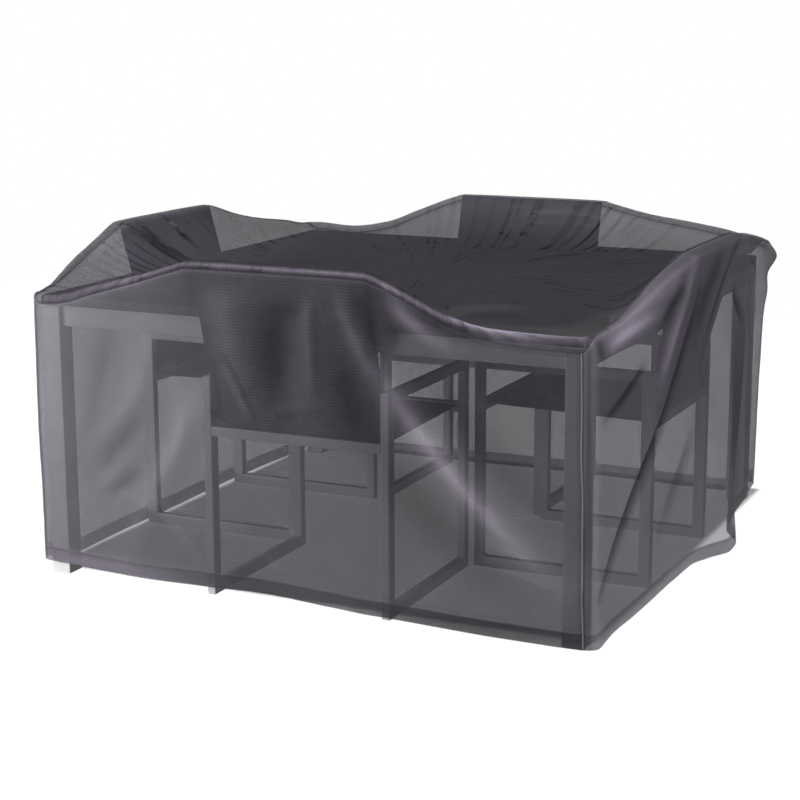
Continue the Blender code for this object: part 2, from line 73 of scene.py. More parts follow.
# ---------------------------------------------------------------- sizes of the furniture
TABLE_LOW, TABLE_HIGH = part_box("table_top")
TABLE_MIDDLE = (TABLE_LOW + TABLE_HIGH) / 2
TABLE_HEIGHT = TABLE_HIGH.z
CHAIRS_MIDDLE = (
    (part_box("chair_left_back")[0].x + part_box("chair_right_back")[1].x) / 2,
    (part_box("chair_front_back")[0].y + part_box("chair_back_back")[1].y) / 2,
)

# A chair's slings: the width between its side tubes, the mesh, and the hem at each side.
SLING_WIDTH = 0.4664
SLING_CLOTH = 0.0015
SLING_HEM = 0.018

# The seat, from its front edge under the table to its rear edge, and how far it sags.
SEAT_OUT = (0.2929, 0.7226)
SEAT_Z = (0.444, 0.434)
SEAT_SAG = 0.010

# The back: its outer face is upright up to the arms, bends over a knee and leans out above.
BACK_FACE = 0.756
BACK_FOOT = 0.4410
ARM_TOP = 0.566
BACK_TOP = 0.8645
BACK_TOP_OUT = 0.839
BACK_THICKNESS = 0.018
BACK_KNEE = 0.020

# The flat bars beside the back, and their gap to its slings.
BAR_WIDTH = 0.0045
BAR_DEPTH = 0.014
BAR_Z = (0.5665, 0.676)
BAR_GAP = 0.0003
BAR_EDGE = 0.0012

# ---------------------------------------------------------------- sizes of the cover
CLOTH = 0.0012
REST = TABLE_HEIGHT + 0.0013
SIDES = ("front", "right", "back", "left")
CORNER_RADIUS = 0.030

# How long a side is taken to be when places round the cover are numbered from 0 to 4.
SIDE_SPAN = 1.7

# The top climbs from the table in a curve of this power to a shelf, which is this share of the
# way in from the ridge. The bends are tight over a chair's rail, whose ridge is high, and soft
# where the cloth is loose and its ridge low.
RISE_POWER = 1.7
SHELF = 0.22
BEND_OVER_RAIL = 0.012
BEND_LOOSE = 0.032
RAIL_RIDGE_Z = 0.862
LOOSE_RIDGE_Z = 0.760

# A side's folds shape only cloth that is farther out than this band, and fade over it. They
# fade towards the cover's corners too, and over the height below FOLDS_GONE.
SIDE_FOLDS_OUT = (0.735, 0.755)
FOLDS_END = 0.030
FOLDS_GONE = 0.82
FOLDS_FADE = 0.07

# How finely the cloth is divided, along and down.
STEP = 0.0085
TOP_STEP = 0.0115
TOP_RINGS_CLIMB = 26
TOP_RINGS_FLAT = 22
SIDE_ROWS = 84

# The hem is turned up inside once and stitched. A pale line of painted highlight marks the top
# edge of the turned-up layer and a dark line of painted shade its stitches, each at a height
# above the hem and of a width.
HEM_DEPTH = 0.038
HEM_STITCH = 0.0355
HEM_BEND = 0.0013
HEM_PAINTED_HIGHLIGHT = (0.0380, 0.0020)
HEM_PAINTED_SHADE = (0.0340, 0.0016)

# The cloth's own unevenness: how far its waves stand out, their size, their place in the noise
# and how much they are drawn out upright. Puckers are small waves along the seams and stitches.
Wave = namedtuple("Wave", "depth size seed upright")
SIDE_RIPPLE = Wave(0.0022, 0.16, 3.7, 0.6)
SIDE_FINE_RIPPLE = Wave(0.0006, 0.045, 9.1, 1)
SIDE_PUCKER = Wave(0.0011, 0.016, 5.3, 0.3)
TOP_RIPPLE = Wave(0.0006, 0.14, 1.9, 1)
TOP_PUCKER = Wave(0.0004, 0.016, 7.3, 0.3)
TABLE_RIPPLE = 0.0003
PUCKER_AT_HEM = 0.010
PUCKER_AT_SEAM = 0.018
STITCH_DIP = 0.0007
STITCH_DIP_WIDTH = 0.0016

# The cloth is drawn tight at this height, over a chair's rail.
OVER_RAIL_Z = (0.80, 0.86)

# The cloth is doubled as far as this from a seam.
SEAM_OVERLAP = (0.010, 0.013)

# The seams' piping and the stitches.
PIPING_WIDTH = 0.0040
PIPING_HEIGHT = 0.0022
UPRIGHT_PIPING_WIDTH = 0.0056
UPRIGHT_WANDER = 0.0026
PIPING_FACES = 8
STITCH_PITCH = 0.0068
STITCH_LENGTH = 0.0052
STITCH_THICK = 0.0009
STITCH_RISE = 0.0001

# The weave of the cloth and of the seats.
WARP_PITCH = 0.0060
WEFT_PITCH = 0.0075
SEAT_YARN_PITCH = 0.0040

# The dye of the cloth, its green and blue beside its red, the step by which painted shade darkens
# it and painted highlight and the weave's own unevenness pale it, and how much of each of a sheet's
# two faces it covers: alone, where the hem is turned up behind it, and beside a seam. It covers
# more under painted crease shade and less under a painted highlight.
CLOTH_DYE = 0.068
DYE_GREEN = 0.90
DYE_BLUE = 1.14
DYE_AND_PAINTED_LIGHT_STEP = 4.2
CLOTH_COVER = 0.445
HEM_COVER = 0.42
SEAM_COVER = 0.52
CREASE_COVER = 0.22
PALE_COVER = -0.03

# The studio and the camera.
FLOOR_REACH = 4.0
FLOOR_DROP = -0.0005
SURROUND = 0.15
SKY_POWER = 2.3
SKY_ANGLE = 45.0
SKY_TURN = (25.0, 0.0, -38.0)
KEY_POWER = 130.0
KEY_PLACE = (-2.7, -2.9, 0.8)
KEY_AIM = (-0.5, -0.6, 0.4)
KEY_SIZE = 1.5
FLOOR_POWER = 24600.0
FLOOR_PLACE = (0.431, -2.83, 25.4)
FLOOR_LAMP_RADIUS = 0.4
FLOOR_FILL_POWER = 0.72
RIM_POWER = 4.6
RIM_TURN = (68.0, 0.0, 62.0)
RIM_ANGLE = 30
CAMERA_PLACE = (2.090, -4.613, 1.486)
CAMERA_TURN = (77.88, 0.0, 24.26)
CAMERA_LENS = 83.02
CAMERA_SHIFT = (-0.0391, -0.0083)

# One row for each upright section of a side. lift: how far in from the ridge the cloth leaves
# the table. ridge: the bend between top and side. seam: where the top panel is sewn to the side,
# along the cloth from the ridge, minus on the top and plus down the side. waist: half way down.
Section = namedtuple("Section", "along lift ridge_out ridge_z seam waist_out hem_out hem_z")
SECTION_ROWS = {
    "front": (
        (-0.650, 0.07, 0.780, 0.754, 0.016, 0.776, 0.776, 0.041),
        (-0.550, 0.13, 0.794, 0.783, 0.016, 0.781, 0.783, 0.038),
        (-0.405, 0.21, 0.814, 0.822, 0.016, 0.788, 0.787, 0.036),
        (-0.276, 0.26, 0.834, 0.860, 0.016, 0.798, 0.784, 0.037),
        (-0.251, 0.27, 0.837, 0.8663, 0.016, 0.800, 0.783, 0.037),
        (-0.100, 0.28, 0.838, 0.8675, 0.016, 0.810, 0.778, 0.039),
        (0.100, 0.28, 0.838, 0.8675, 0.016, 0.814, 0.788, 0.034),
        (0.223, 0.27, 0.837, 0.8663, 0.016, 0.809, 0.793, 0.029),
        (0.248, 0.26, 0.834, 0.859, 0.016, 0.806, 0.794, 0.029),
        (0.340, 0.19, 0.818, 0.817, 0.017, 0.798, 0.797, 0.028),
        (0.430, 0.12, 0.796, 0.774, 0.020, 0.792, 0.799, 0.026),
        (0.520, 0.07, 0.778, 0.752, 0.024, 0.786, 0.800, 0.024),
        (0.620, 0.05, 0.768, 0.7455, 0.028, 0.782, 0.799, 0.023),
    ),
    "right": (
        (-0.650, 0.06, 0.778, 0.757, -0.024, 0.781, 0.783, 0.020),
        (-0.520, 0.12, 0.796, 0.789, -0.036, 0.788, 0.791, 0.022),
        (-0.380, 0.19, 0.816, 0.828, -0.042, 0.800, 0.797, 0.025),
        (-0.245, 0.25, 0.839, 0.861, -0.044, 0.814, 0.801, 0.029),
        (-0.219, 0.27, 0.841, 0.8663, -0.044, 0.818, 0.802, 0.029),
        (-0.090, 0.28, 0.842, 0.8672, -0.044, 0.832, 0.808, 0.031),
        (-0.020, 0.28, 0.842, 0.8675, -0.044, 0.848, 0.836, 0.034),
        (0.060, 0.28, 0.842, 0.8675, -0.042, 0.855, 0.873, 0.036),
        (0.130, 0.28, 0.842, 0.8672, -0.042, 0.842, 0.868, 0.036),
        (0.255, 0.27, 0.841, 0.8663, -0.040, 0.817, 0.812, 0.038),
        (0.281, 0.26, 0.839, 0.862, -0.038, 0.812, 0.808, 0.039),
        (0.400, 0.22, 0.822, 0.846, -0.034, 0.790, 0.790, 0.041),
        (0.540, 0.17, 0.803, 0.823, -0.026, 0.778, 0.779, 0.044),
        (0.650, 0.12, 0.789, 0.804, -0.018, 0.769, 0.767, 0.045),
    ),
    "back": (
        (-0.650, 0.12, 0.794, 0.805, 0.016, 0.770, 0.768, 0.006),
        (-0.520, 0.17, 0.820, 0.821, 0.016, 0.777, 0.775, 0.006),
        (-0.400, 0.22, 0.842, 0.834, 0.016, 0.790, 0.784, 0.006),
        (-0.249, 0.26, 0.870, 0.8605, 0.016, 0.818, 0.790, 0.006),
        (-0.223, 0.27, 0.873, 0.8663, 0.016, 0.822, 0.790, 0.006),
        (-0.080, 0.29, 0.874, 0.8675, 0.016, 0.832, 0.792, 0.006),
        (0.110, 0.29, 0.874, 0.8675, 0.016, 0.828, 0.786, 0.006),
        (0.251, 0.27, 0.873, 0.8663, 0.016, 0.816, 0.780, 0.006),
        (0.277, 0.26, 0.870, 0.860, 0.016, 0.812, 0.780, 0.006),
        (0.400, 0.19, 0.836, 0.813, 0.016, 0.794, 0.783, 0.006),
        (0.500, 0.11, 0.808, 0.773, 0.016, 0.784, 0.782, 0.006),
        (0.620, 0.06, 0.786, 0.756, 0.015, 0.776, 0.776, 0.006),
    ),
    "left": (
        (-0.650, 0.08, 0.790, 0.780, -0.014, 0.774, 0.772, 0.006),
        (-0.500, 0.14, 0.818, 0.803, -0.020, 0.784, 0.780, 0.006),
        (-0.390, 0.20, 0.844, 0.828, -0.026, 0.796, 0.786, 0.006),
        (-0.281, 0.25, 0.867, 0.8605, -0.034, 0.808, 0.789, 0.006),
        (-0.255, 0.26, 0.869, 0.8663, -0.036, 0.811, 0.789, 0.006),
        (-0.090, 0.29, 0.871, 0.8680, -0.038, 0.822, 0.786, 0.006),
        (0.090, 0.29, 0.871, 0.8680, -0.038, 0.820, 0.782, 0.006),
        (0.219, 0.27, 0.869, 0.8663, -0.038, 0.811, 0.782, 0.006),
        (0.245, 0.26, 0.866, 0.861, -0.038, 0.808, 0.782, 0.006),
        (0.340, 0.22, 0.846, 0.839, -0.036, 0.796, 0.784, 0.006),
        (0.480, 0.16, 0.818, 0.805, -0.034, 0.784, 0.780, 0.006),
        (0.580, 0.11, 0.798, 0.776, -0.030, 0.777, 0.774, 0.006),
        (0.660, 0.06, 0.782, 0.750, -0.018, 0.770, 0.770, 0.006),
    ),
}
SECTIONS = {side: [Section(*row) for row in rows] for side, rows in SECTION_ROWS.items()}

# One row for the corner at the right end of each side, with "out" the same on both sides, and
# the seam before, at and after it.
Corner = namedtuple(
    "Corner",
    "lift ridge_out ridge_z seam_before seam_at seam_after waist_out hem_out hem_z",
)
CORNERS = {
    "front": Corner(0.04, 0.762, 0.744, 0.030, 0.004, -0.014, 0.777, 0.790, 0.021),
    "right": Corner(0.07, 0.772, 0.786, -0.014, 0.000, 0.014, 0.765, 0.760, 0.046),
    "back": Corner(0.05, 0.768, 0.764, 0.014, 0.000, -0.012, 0.766, 0.768, 0.008),
    "left": Corner(0.04, 0.764, 0.744, -0.014, 0.000, 0.014, 0.766, 0.764, 0.040),
}

# One row for each fold: it runs over three points, each its place along the side and its
# height, or its place across and up the plan on the top panel. A plus height is a ridge that
# stands out, a minus one is a trough. The last column is light painted onto the fold: plus is a
# painted highlight that pales the cloth, minus is painted shade that darkens it and makes it
# denser.
Fold = namedtuple("Fold", "along_1 z_1 along_2 z_2 along_3 z_3 width height tone")
FOLD_ROWS = {
    "right": (
        # the right side: two limbs that fall from the raised corner of the chair's back, the
        # creases between them, and the flared fold behind
        (-0.185, 0.770, -0.405, 0.432, -0.785, 0.120, 0.016, -0.015, -1.50),
        (-0.291, 0.811, -0.326, 0.756, -0.401, 0.706, 0.022, -0.010, -0.80),
        (-0.480, 0.640, -0.572, 0.591, -0.720, 0.540, 0.011, -0.008, -1.20),
        (-0.230, 0.850, -0.468, 0.795, -0.760, 0.735, 0.038, 0.006, 0.62),
        (-0.225, 0.870, -0.320, 0.700, -0.404, 0.553, 0.022, 0.008, 0.65),
        (-0.148, 0.441, -0.200, 0.330, -0.344, 0.187, 0.024, -0.010, -0.55),
        (-0.300, 0.600, -0.440, 0.330, -0.560, 0.120, 0.050, 0.008, 0.10),
        (-0.056, 0.440, -0.035, 0.278, -0.010, 0.110, 0.024, 0.005, 0.20),
        (0.000, 0.850, -0.110, 0.770, -0.197, 0.660, 0.034, -0.006, -0.75),
        (0.190, 0.862, 0.010, 0.780, -0.125, 0.620, 0.006, -0.005, -1.00),
        (-0.137, 0.660, -0.134, 0.588, -0.133, 0.510, 0.004, -0.002, -0.50),
        (-0.700, 0.705, -0.600, 0.730, -0.400, 0.750, 0.022, 0.000, 0.95),
        (-0.745, 0.735, -0.722, 0.705, -0.700, 0.680, 0.014, -0.003, -0.60),
        (0.110, 0.735, 0.200, 0.676, 0.310, 0.620, 0.014, -0.008, -1.20),
        (0.180, 0.640, 0.290, 0.360, 0.340, 0.040, 0.120, 0.000, -0.95),
        (0.600, 0.800, 0.720, 0.740, 0.750, 0.650, 0.060, 0.000, -0.60),
        (0.330, 0.700, 0.370, 0.450, 0.350, 0.100, 0.045, 0.014, 0.00),
        (0.475, 0.720, 0.594, 0.542, 0.640, 0.360, 0.032, 0.006, 0.35),
        (0.424, 0.730, 0.477, 0.620, 0.561, 0.500, 0.006, -0.003, -0.50),
        (0.265, 0.862, 0.372, 0.797, 0.568, 0.710, 0.005, -0.003, -0.60),
        (0.285, 0.852, 0.500, 0.810, 0.700, 0.760, 0.006, -0.003, -0.50),
        (0.590, 0.640, 0.600, 0.400, 0.590, 0.120, 0.022, -0.008, -0.30),
    ),
    "front": (
        # the front: a long painted highlight across the lower right, painted shade in the hollows
        # of the middle
        (0.277, 0.835, 0.345, 0.752, 0.455, 0.695, 0.024, 0.005, 1.10),
        (0.235, 0.690, 0.433, 0.408, 0.730, 0.150, 0.050, 0.016, 0.80),
        (0.250, 0.660, 0.433, 0.408, 0.700, 0.165, 0.020, 0.002, 0.40),
        (0.360, 0.640, 0.540, 0.450, 0.740, 0.260, 0.045, -0.012, -0.25),
        (0.270, 0.420, 0.400, 0.260, 0.600, 0.120, 0.050, -0.012, -0.30),
        (0.510, 0.246, 0.568, 0.234, 0.640, 0.221, 0.005, 0.002, 0.35),
        (0.580, 0.188, 0.642, 0.170, 0.710, 0.157, 0.005, 0.002, 0.35),
        (-0.161, 0.650, -0.114, 0.574, -0.070, 0.470, 0.008, -0.0015, -0.30),
        (-0.182, 0.620, -0.178, 0.545, -0.168, 0.480, 0.007, -0.001, -0.25),
        (-0.150, 0.600, -0.109, 0.527, -0.075, 0.460, 0.014, 0.0015, 0.25),
        (-0.212, 0.496, -0.179, 0.483, -0.150, 0.466, 0.005, -0.002, -0.35),
        (-0.150, 0.840, -0.135, 0.680, -0.095, 0.540, 0.050, 0.006, 0.40),
        (0.025, 0.790, 0.005, 0.650, 0.020, 0.510, 0.052, -0.012, -0.45),
        (0.090, 0.850, 0.079, 0.698, 0.088, 0.540, 0.018, 0.004, 0.22),
        (0.145, 0.850, 0.200, 0.720, 0.256, 0.600, 0.020, 0.005, 0.35),
        (0.196, 0.830, 0.238, 0.760, 0.262, 0.680, 0.020, -0.004, -0.40),
        (0.165, 0.640, 0.200, 0.540, 0.225, 0.440, 0.045, -0.006, -0.45),
        # the front on the left: painted highlight, soft towards the corner
        (-0.745, 0.900, -0.730, 0.430, -0.720, -0.060, 0.170, 0.000, 0.42),
        (-0.700, 0.760, -0.480, 0.790, -0.290, 0.830, 0.050, 0.000, 0.35),
        (-0.380, 0.690, -0.436, 0.500, -0.530, 0.330, 0.042, 0.009, 0.30),
        (-0.415, 0.475, -0.488, 0.380, -0.580, 0.290, 0.030, -0.009, -0.50),
        (-0.420, 0.315, -0.480, 0.275, -0.535, 0.235, 0.020, -0.004, -0.30),
        (-0.318, 0.580, -0.297, 0.441, -0.360, 0.310, 0.026, 0.005, 0.22),
        (-0.215, 0.545, -0.350, 0.331, -0.480, 0.060, 0.036, 0.008, 0.30),
        (-0.560, 0.350, -0.496, 0.259, -0.395, 0.228, 0.008, 0.002, 0.20),
        (-0.410, 0.254, -0.336, 0.233, -0.255, 0.206, 0.007, 0.002, 0.28),
        (-0.365, 0.207, -0.290, 0.141, -0.245, 0.070, 0.008, 0.002, 0.25),
        (-0.070, 0.280, 0.002, 0.218, 0.065, 0.184, 0.008, 0.002, 0.25),
        (-0.105, 0.182, -0.046, 0.120, 0.032, 0.100, 0.007, 0.002, 0.25),
        (0.105, 0.175, 0.152, 0.136, 0.198, 0.098, 0.007, 0.002, 0.25),
        (-0.770, 0.055, -0.520, 0.052, -0.200, 0.054, 0.022, 0.000, 0.70),
        (0.200, 0.046, 0.520, 0.042, 0.780, 0.040, 0.022, 0.000, -0.55),
    ),
    "back": (
        # behind and on the left, where the cloth falls from the chairs to the corners
        (-0.300, 0.760, -0.420, 0.500, -0.640, 0.200, 0.045, -0.016, -0.40),
        (-0.270, 0.800, -0.330, 0.560, -0.450, 0.330, 0.030, 0.008, 0.45),
        (0.320, 0.760, 0.430, 0.480, 0.620, 0.180, 0.045, -0.016, -0.40),
        (0.265, 0.800, 0.340, 0.540, 0.470, 0.300, 0.028, 0.008, 0.45),
        (0.060, 0.640, 0.030, 0.400, 0.060, 0.120, 0.060, 0.012, 0.30),
        (-0.120, 0.720, -0.110, 0.560, -0.150, 0.400, 0.020, -0.005, -0.30),
    ),
    "left": (
        (-0.320, 0.760, -0.440, 0.500, -0.640, 0.220, 0.045, -0.016, -0.40),
        (-0.275, 0.800, -0.340, 0.570, -0.460, 0.340, 0.030, 0.008, 0.40),
        (0.290, 0.760, 0.420, 0.500, 0.620, 0.230, 0.045, -0.014, -0.40),
        (0.020, 0.620, -0.010, 0.380, -0.040, 0.110, 0.060, 0.012, 0.30),
        (0.140, 0.720, 0.120, 0.580, 0.160, 0.420, 0.018, -0.005, -0.30),
    ),
    "top": (
        # the top: painted highlight where it climbs to the chairs on the left and behind, a soft
        # swell with a painted highlight at the near right, and creases with painted shade towards
        # the chairs
        (-0.790, -0.850, -0.810, -0.200, -0.790, 0.600, 0.210, 0.000, 0.80),
        (-0.500, 0.830, 0.000, 0.820, 0.500, 0.820, 0.110, 0.000, 0.50),
        (0.400, -0.765, 0.600, -0.735, 0.760, -0.670, 0.055, 0.006, 0.95),
        (0.700, -0.720, 0.715, -0.560, 0.705, -0.360, 0.045, 0.005, 0.60),
        (0.330, -0.720, 0.345, -0.500, 0.450, -0.430, 0.035, 0.005, 0.50),
        (0.330, -0.600, 0.420, -0.570, 0.560, -0.540, 0.040, 0.000, -0.25),
        (-0.790, -0.225, -0.740, -0.189, -0.650, -0.165, 0.018, -0.004, -0.70),
        (-0.776, -0.520, -0.783, -0.388, -0.781, -0.270, 0.060, 0.003, 0.40),
        (-0.016, 0.752, 0.110, 0.776, 0.250, 0.772, 0.005, 0.002, 0.40),
        (-0.015, 0.724, 0.123, 0.741, 0.255, 0.745, 0.004, 0.001, 0.25),
        (0.264, 0.801, 0.432, 0.778, 0.640, 0.757, 0.024, 0.002, 0.25),
        (-0.450, 0.765, -0.339, 0.789, -0.255, 0.810, 0.024, 0.002, 0.25),
    ),
}
FOLDS = {side: [Fold(*row) for row in rows] for side, rows in FOLD_ROWS.items()}

# A painted highlight, paler cloth where it bends over its ridge: the side and the place along it,
# the strength of the painted highlight, how far below the ridge the middle of the pale band is,
# and its half width.
RIDGE_PAINTED_HIGHLIGHT = (
    ("front", -0.76, 0.75, 0.003, 0.012),
    ("front", -0.40, 1.15, 0.003, 0.012),
    ("front", 0.25, 1.25, 0.003, 0.010),
    ("front", 0.41, 1.35, 0.003, 0.008),
    ("front", 0.52, 1.15, -0.012, 0.022),
    ("front", 0.70, 1.15, -0.016, 0.030),
    ("right", -0.78, 0.30, -0.004, 0.012),
    ("right", -0.40, 0.05, 0.000, 0.012),
    ("right", 0.70, 0.05, 0.000, 0.012),
    ("back", -0.60, 0.25, 0.003, 0.012),
    ("back", 0.60, 0.25, 0.003, 0.012),
    ("left", -0.60, 0.30, 0.003, 0.012),
    ("left", 0.70, 0.30, 0.003, 0.012),
)

# Beside an upright seam it has a hollow with painted shade and then a swell with a painted
# highlight: distance from the seam, width, push, and painted light of each (minus for shade, plus
# for highlight).
BESIDE_SEAM = ((0.020, 0.012, -0.0012, -0.25), (0.050, 0.014, 0.0015, 0.22))

# The corner behind on the right stands proud of the table in a stiff pouch, with a small bulge
# below it: height, half height, how far it reaches round the corner, and how far it stands out.
POUCH_CORNER = 0.775
POUCHES = ((0.738, 0.034, 0.090, 0.040), (0.640, 0.045, 0.080, 0.012))


def plan_point(side, along, out):
    """The place in plan of a point of a side."""
    cosine, sine = ((1, 0), (0, 1), (-1, 0), (0, -1))[SIDES.index(side)]
    return np.array((along * cosine + out * sine, along * sine - out * cosine))


def station(side, row, seam, corner=None):
    """The lift, ridge, waist and hem points of one upright section, and its seam distance."""

    def point(out, height):
        if corner is None:
            place = (row.along, out)
        elif corner == "mid":
            inset = CORNER_RADIUS * (1 - math.sqrt(0.5))
            place = (out - inset, out - inset)
        else:
            place = (corner * (out - CORNER_RADIUS), out)
        return np.append(plan_point(side, *place), height)

    ridge = point(row.ridge_out, row.ridge_z)
    lift = ridge * (1 - row.lift / row.ridge_out)
    lift[2] = REST
    waist = point(row.waist_out, (row.ridge_z + row.hem_z) / 2)
    hem = point(row.hem_out, row.hem_z)
    return np.concatenate((lift, ridge, waist, hem, (seam,)))


def all_stations():
    """The sections round the cover from the middle of the left corner, and the seam places."""
    rows, seams = [], []
    for side in SIDES:
        before = SIDES[SIDES.index(side) - 1]
        corner, corner_next = CORNERS[before], CORNERS[side]
        rows.append(station(before, corner, corner.seam_at, "mid"))
        rows.append(station(side, corner, corner.seam_after, -1))
        rows += [station(side, row, row.seam) for row in SECTIONS[side]]
        seams.append(len(rows))
        rows.append(station(side, corner_next, corner_next.seam_before, 1))
    return np.array(rows), seams


def smooth_loop(rows, places):
    """Values at fractional places round a closed loop of rows, with no overshoot."""
    step = np.roll(rows, -1, 0) - rows
    length = np.linalg.norm(step[:, 3:6], axis=1)[:, None]
    slope = step / length
    before, length_before = np.roll(slope, 1, 0), np.roll(length, 1, 0)
    weight_1 = 2 * length + length_before
    weight_2 = length + 2 * length_before
    same = before * slope > 0
    safe = np.where(same, slope * before, 1.0)
    mean = (weight_1 + weight_2) * safe
    mean = mean / np.where(same, weight_1 * slope + weight_2 * before, 1.0)
    tangent = np.where(same, mean, 0.0)
    index = np.floor(places).astype(int) % len(rows)
    after = (index + 1) % len(rows)
    part = (places - np.floor(places))[:, None]
    part_2, part_3 = part**2, part**3
    return (
        (2 * part_3 - 3 * part_2 + 1) * rows[index]
        + (part_3 - 2 * part_2 + part) * length[index] * tangent[index]
        + (3 * part_2 - 2 * part_3) * rows[after]
        + (part_3 - part_2) * length[index] * tangent[after]
    )


def fine_places(rows, start, end, step):
    """Fractional places from row start to row end, about a step apart along the ridge."""
    places = []
    for index in range(start, end):
        here, after = rows[index % len(rows)], rows[(index + 1) % len(rows)]
        count = max(2, math.ceil(np.linalg.norm(after[3:6] - here[3:6]) / step))
        places += list(index + np.arange(count) / count)
    return np.array(places + [end])


def round_off(before, corner, after, reach):
    """Points of a soft bend that replaces a corner, given the lines that meet there."""

    def at(line):
        way = np.append(0, np.cumsum(np.linalg.norm(np.diff(line, axis=0), axis=1)))
        place = min(reach, 0.45 * way[-1])
        point = [np.interp(place, way, line[:, axis]) for axis in range(3)]
        return np.array(point), line[way > place]

    start, rest_before = at(np.vstack((corner, before[::-1])))
    end, rest_after = at(np.vstack((corner, after)))
    turn = np.linspace(0, 1, 15)[:, None]
    bend = (1 - turn) ** 2 * start + 2 * turn * (1 - turn) * corner + turn**2 * end
    return rest_before[::-1], bend, rest_after


def profile(values):
    """The cloth's line down one section, from where it leaves the table to the hem, and the
    index of its ridge. It climbs to a shelf, crosses that to the ridge and hangs from there."""
    lift, ridge, waist, hem = values[0:3], values[3:6], values[6:9], values[9:12]
    looseness = np.clip((RAIL_RIDGE_Z - ridge[2]) / (RAIL_RIDGE_Z - LOOSE_RIDGE_Z), 0, 1)
    reach = BEND_OVER_RAIL + (BEND_LOOSE - BEND_OVER_RAIL) * looseness
    shelf = ridge + (lift - ridge) * SHELF
    shelf[2] = ridge[2]
    rise = np.linspace(0, 1, 60)[:, None]
    climb = lift + (shelf - lift) * rise
    climb[:, 2] = lift[2] + (shelf[2] - lift[2]) * rise[:, 0] ** RISE_POWER
    fall = np.linspace(0, 1, 120)[:, None]
    hanging = (
        ridge * (1 - fall) * (1 - 2 * fall)
        + waist * 4 * fall * (1 - fall)
        + hem * fall * (2 * fall - 1)
    )
    level = np.linspace(shelf, ridge, 9)
    climb, inner_bend, level = round_off(climb[:-1], shelf, level[1:], reach)
    level, outer_bend, hanging = round_off(level[:-1], ridge, hanging[1:], reach)
    line = np.concatenate((climb, inner_bend, level, outer_bend, hanging))
    return line, len(climb) + len(inner_bend) + len(level) + len(outer_bend) // 2


def way_along(line):
    """The distance along a line of points, from its first point."""
    return np.append(0, np.cumsum(np.linalg.norm(np.diff(line, axis=0), axis=1)))


def walk(line, origin, distances):
    """Points on a line at distances from one of its points, minus before it."""
    way = way_along(line)
    way -= way[origin]
    return np.stack([np.interp(distances, way, line[:, axis]) for axis in range(3)], axis=1)


def distance_to_fold(fold, along, height):
    """How far points of a side are from a fold's line, and how far along the fold, 0 to 1."""
    step = np.linspace(0, 1, 25)
    bends = ((1 - step) ** 2, 2 * step * (1 - step), step**2)
    middle_along = 2 * fold.along_2 - (fold.along_1 + fold.along_3) / 2
    middle_z = 2 * fold.z_2 - (fold.z_1 + fold.z_3) / 2
    line_along = bends[0] * fold.along_1 + bends[1] * middle_along + bends[2] * fold.along_3
    line_z = bends[0] * fold.z_1 + bends[1] * middle_z + bends[2] * fold.z_3
    nearest = np.full(along.shape, 9.0)
    part = np.zeros(along.shape)
    for index in range(len(step) - 1):
        run_along = line_along[index + 1] - line_along[index]
        run_z = line_z[index + 1] - line_z[index]
        off_along, off_z = along - line_along[index], height - line_z[index]
        share = (off_along * run_along + off_z * run_z) / (run_along**2 + run_z**2)
        share = np.clip(share, 0, 1)
        away = np.hypot(off_along - share * run_along, off_z - share * run_z)
        closer = away < nearest
        nearest = np.where(closer, away, nearest)
        part = np.where(closer, (index + share) / (len(step) - 1), part)
    return nearest, part


def ramp(value, low, high):
    """A soft step from 0 at low to 1 at high."""
    part = np.clip((value - low) / (high - low), 0, 1)
    return part * part * (3 - 2 * part)


def fold_push(points, side):
    """How far the folds of a panel push its cloth out at each point, and the shade and highlight
    painted on them.
    """
    if side == "top":
        along, height = points[:, 0], points[:, 1]
    else:
        along, height = points[:, :2] @ plan_point(side, 1, 0), points[:, 2]
    push, tone = np.zeros(len(points)), np.zeros(len(points))
    for fold in FOLDS[side]:
        away, part = distance_to_fold(fold, along, height)
        fade = np.sin(np.pi * np.clip(part, 0.04, 0.96)) ** 0.6
        share = fade * np.exp(-((away / fold.width) ** 2))
        push += fold.height * share
        # painted shade along troughs, painted highlight along ridges
        tone += fold.tone * share
    return push, tone


def shape_side(points):
    """Add the folds and the corner pouch to points of the hanging cloth. Gives the folds' painted
    shade and highlight too.
    """
    shaped = points.copy()
    tone = np.zeros(len(points))
    for side in SIDES:
        outward = plan_point(side, 0, 1)
        out = points[:, :2] @ outward
        across = np.abs(points[:, :2] @ plan_point(side, 1, 0))
        belongs = ramp(out - across, 0.0, FOLDS_END) * ramp(out, *SIDE_FOLDS_OUT)
        push, side_painted_light = fold_push(points, side)
        share = ramp(FOLDS_GONE - points[:, 2], 0, FOLDS_FADE) * belongs
        shaped[:, :2] += (push * share)[:, None] * outward
        # the side folds' painted shade and highlight, which reach onto the climbing top as well
        tone += side_painted_light * belongs
    corner = np.array((POUCH_CORNER, POUCH_CORNER))
    away = np.linalg.norm(points[:, :2] - corner, axis=1)
    for height, half_height, reach, out in POUCHES:
        above = (points[:, 2] - height) / half_height
        pouch = out * np.exp(-((away / reach) ** 2) - above**2)
        shaped[:, :2] += pouch[:, None] * math.sqrt(0.5)
    return shaped, tone


def round_cover(point):
    """How far round the cover a point is, from 0 at the left front corner to 4."""
    for index, side in enumerate(SIDES):
        along, out = point[:2] @ plan_point(side, 1, 0), point[:2] @ plan_point(side, 0, 1)
        if out >= abs(along):
            return index + along / SIDE_SPAN + 0.5
    return 0.0


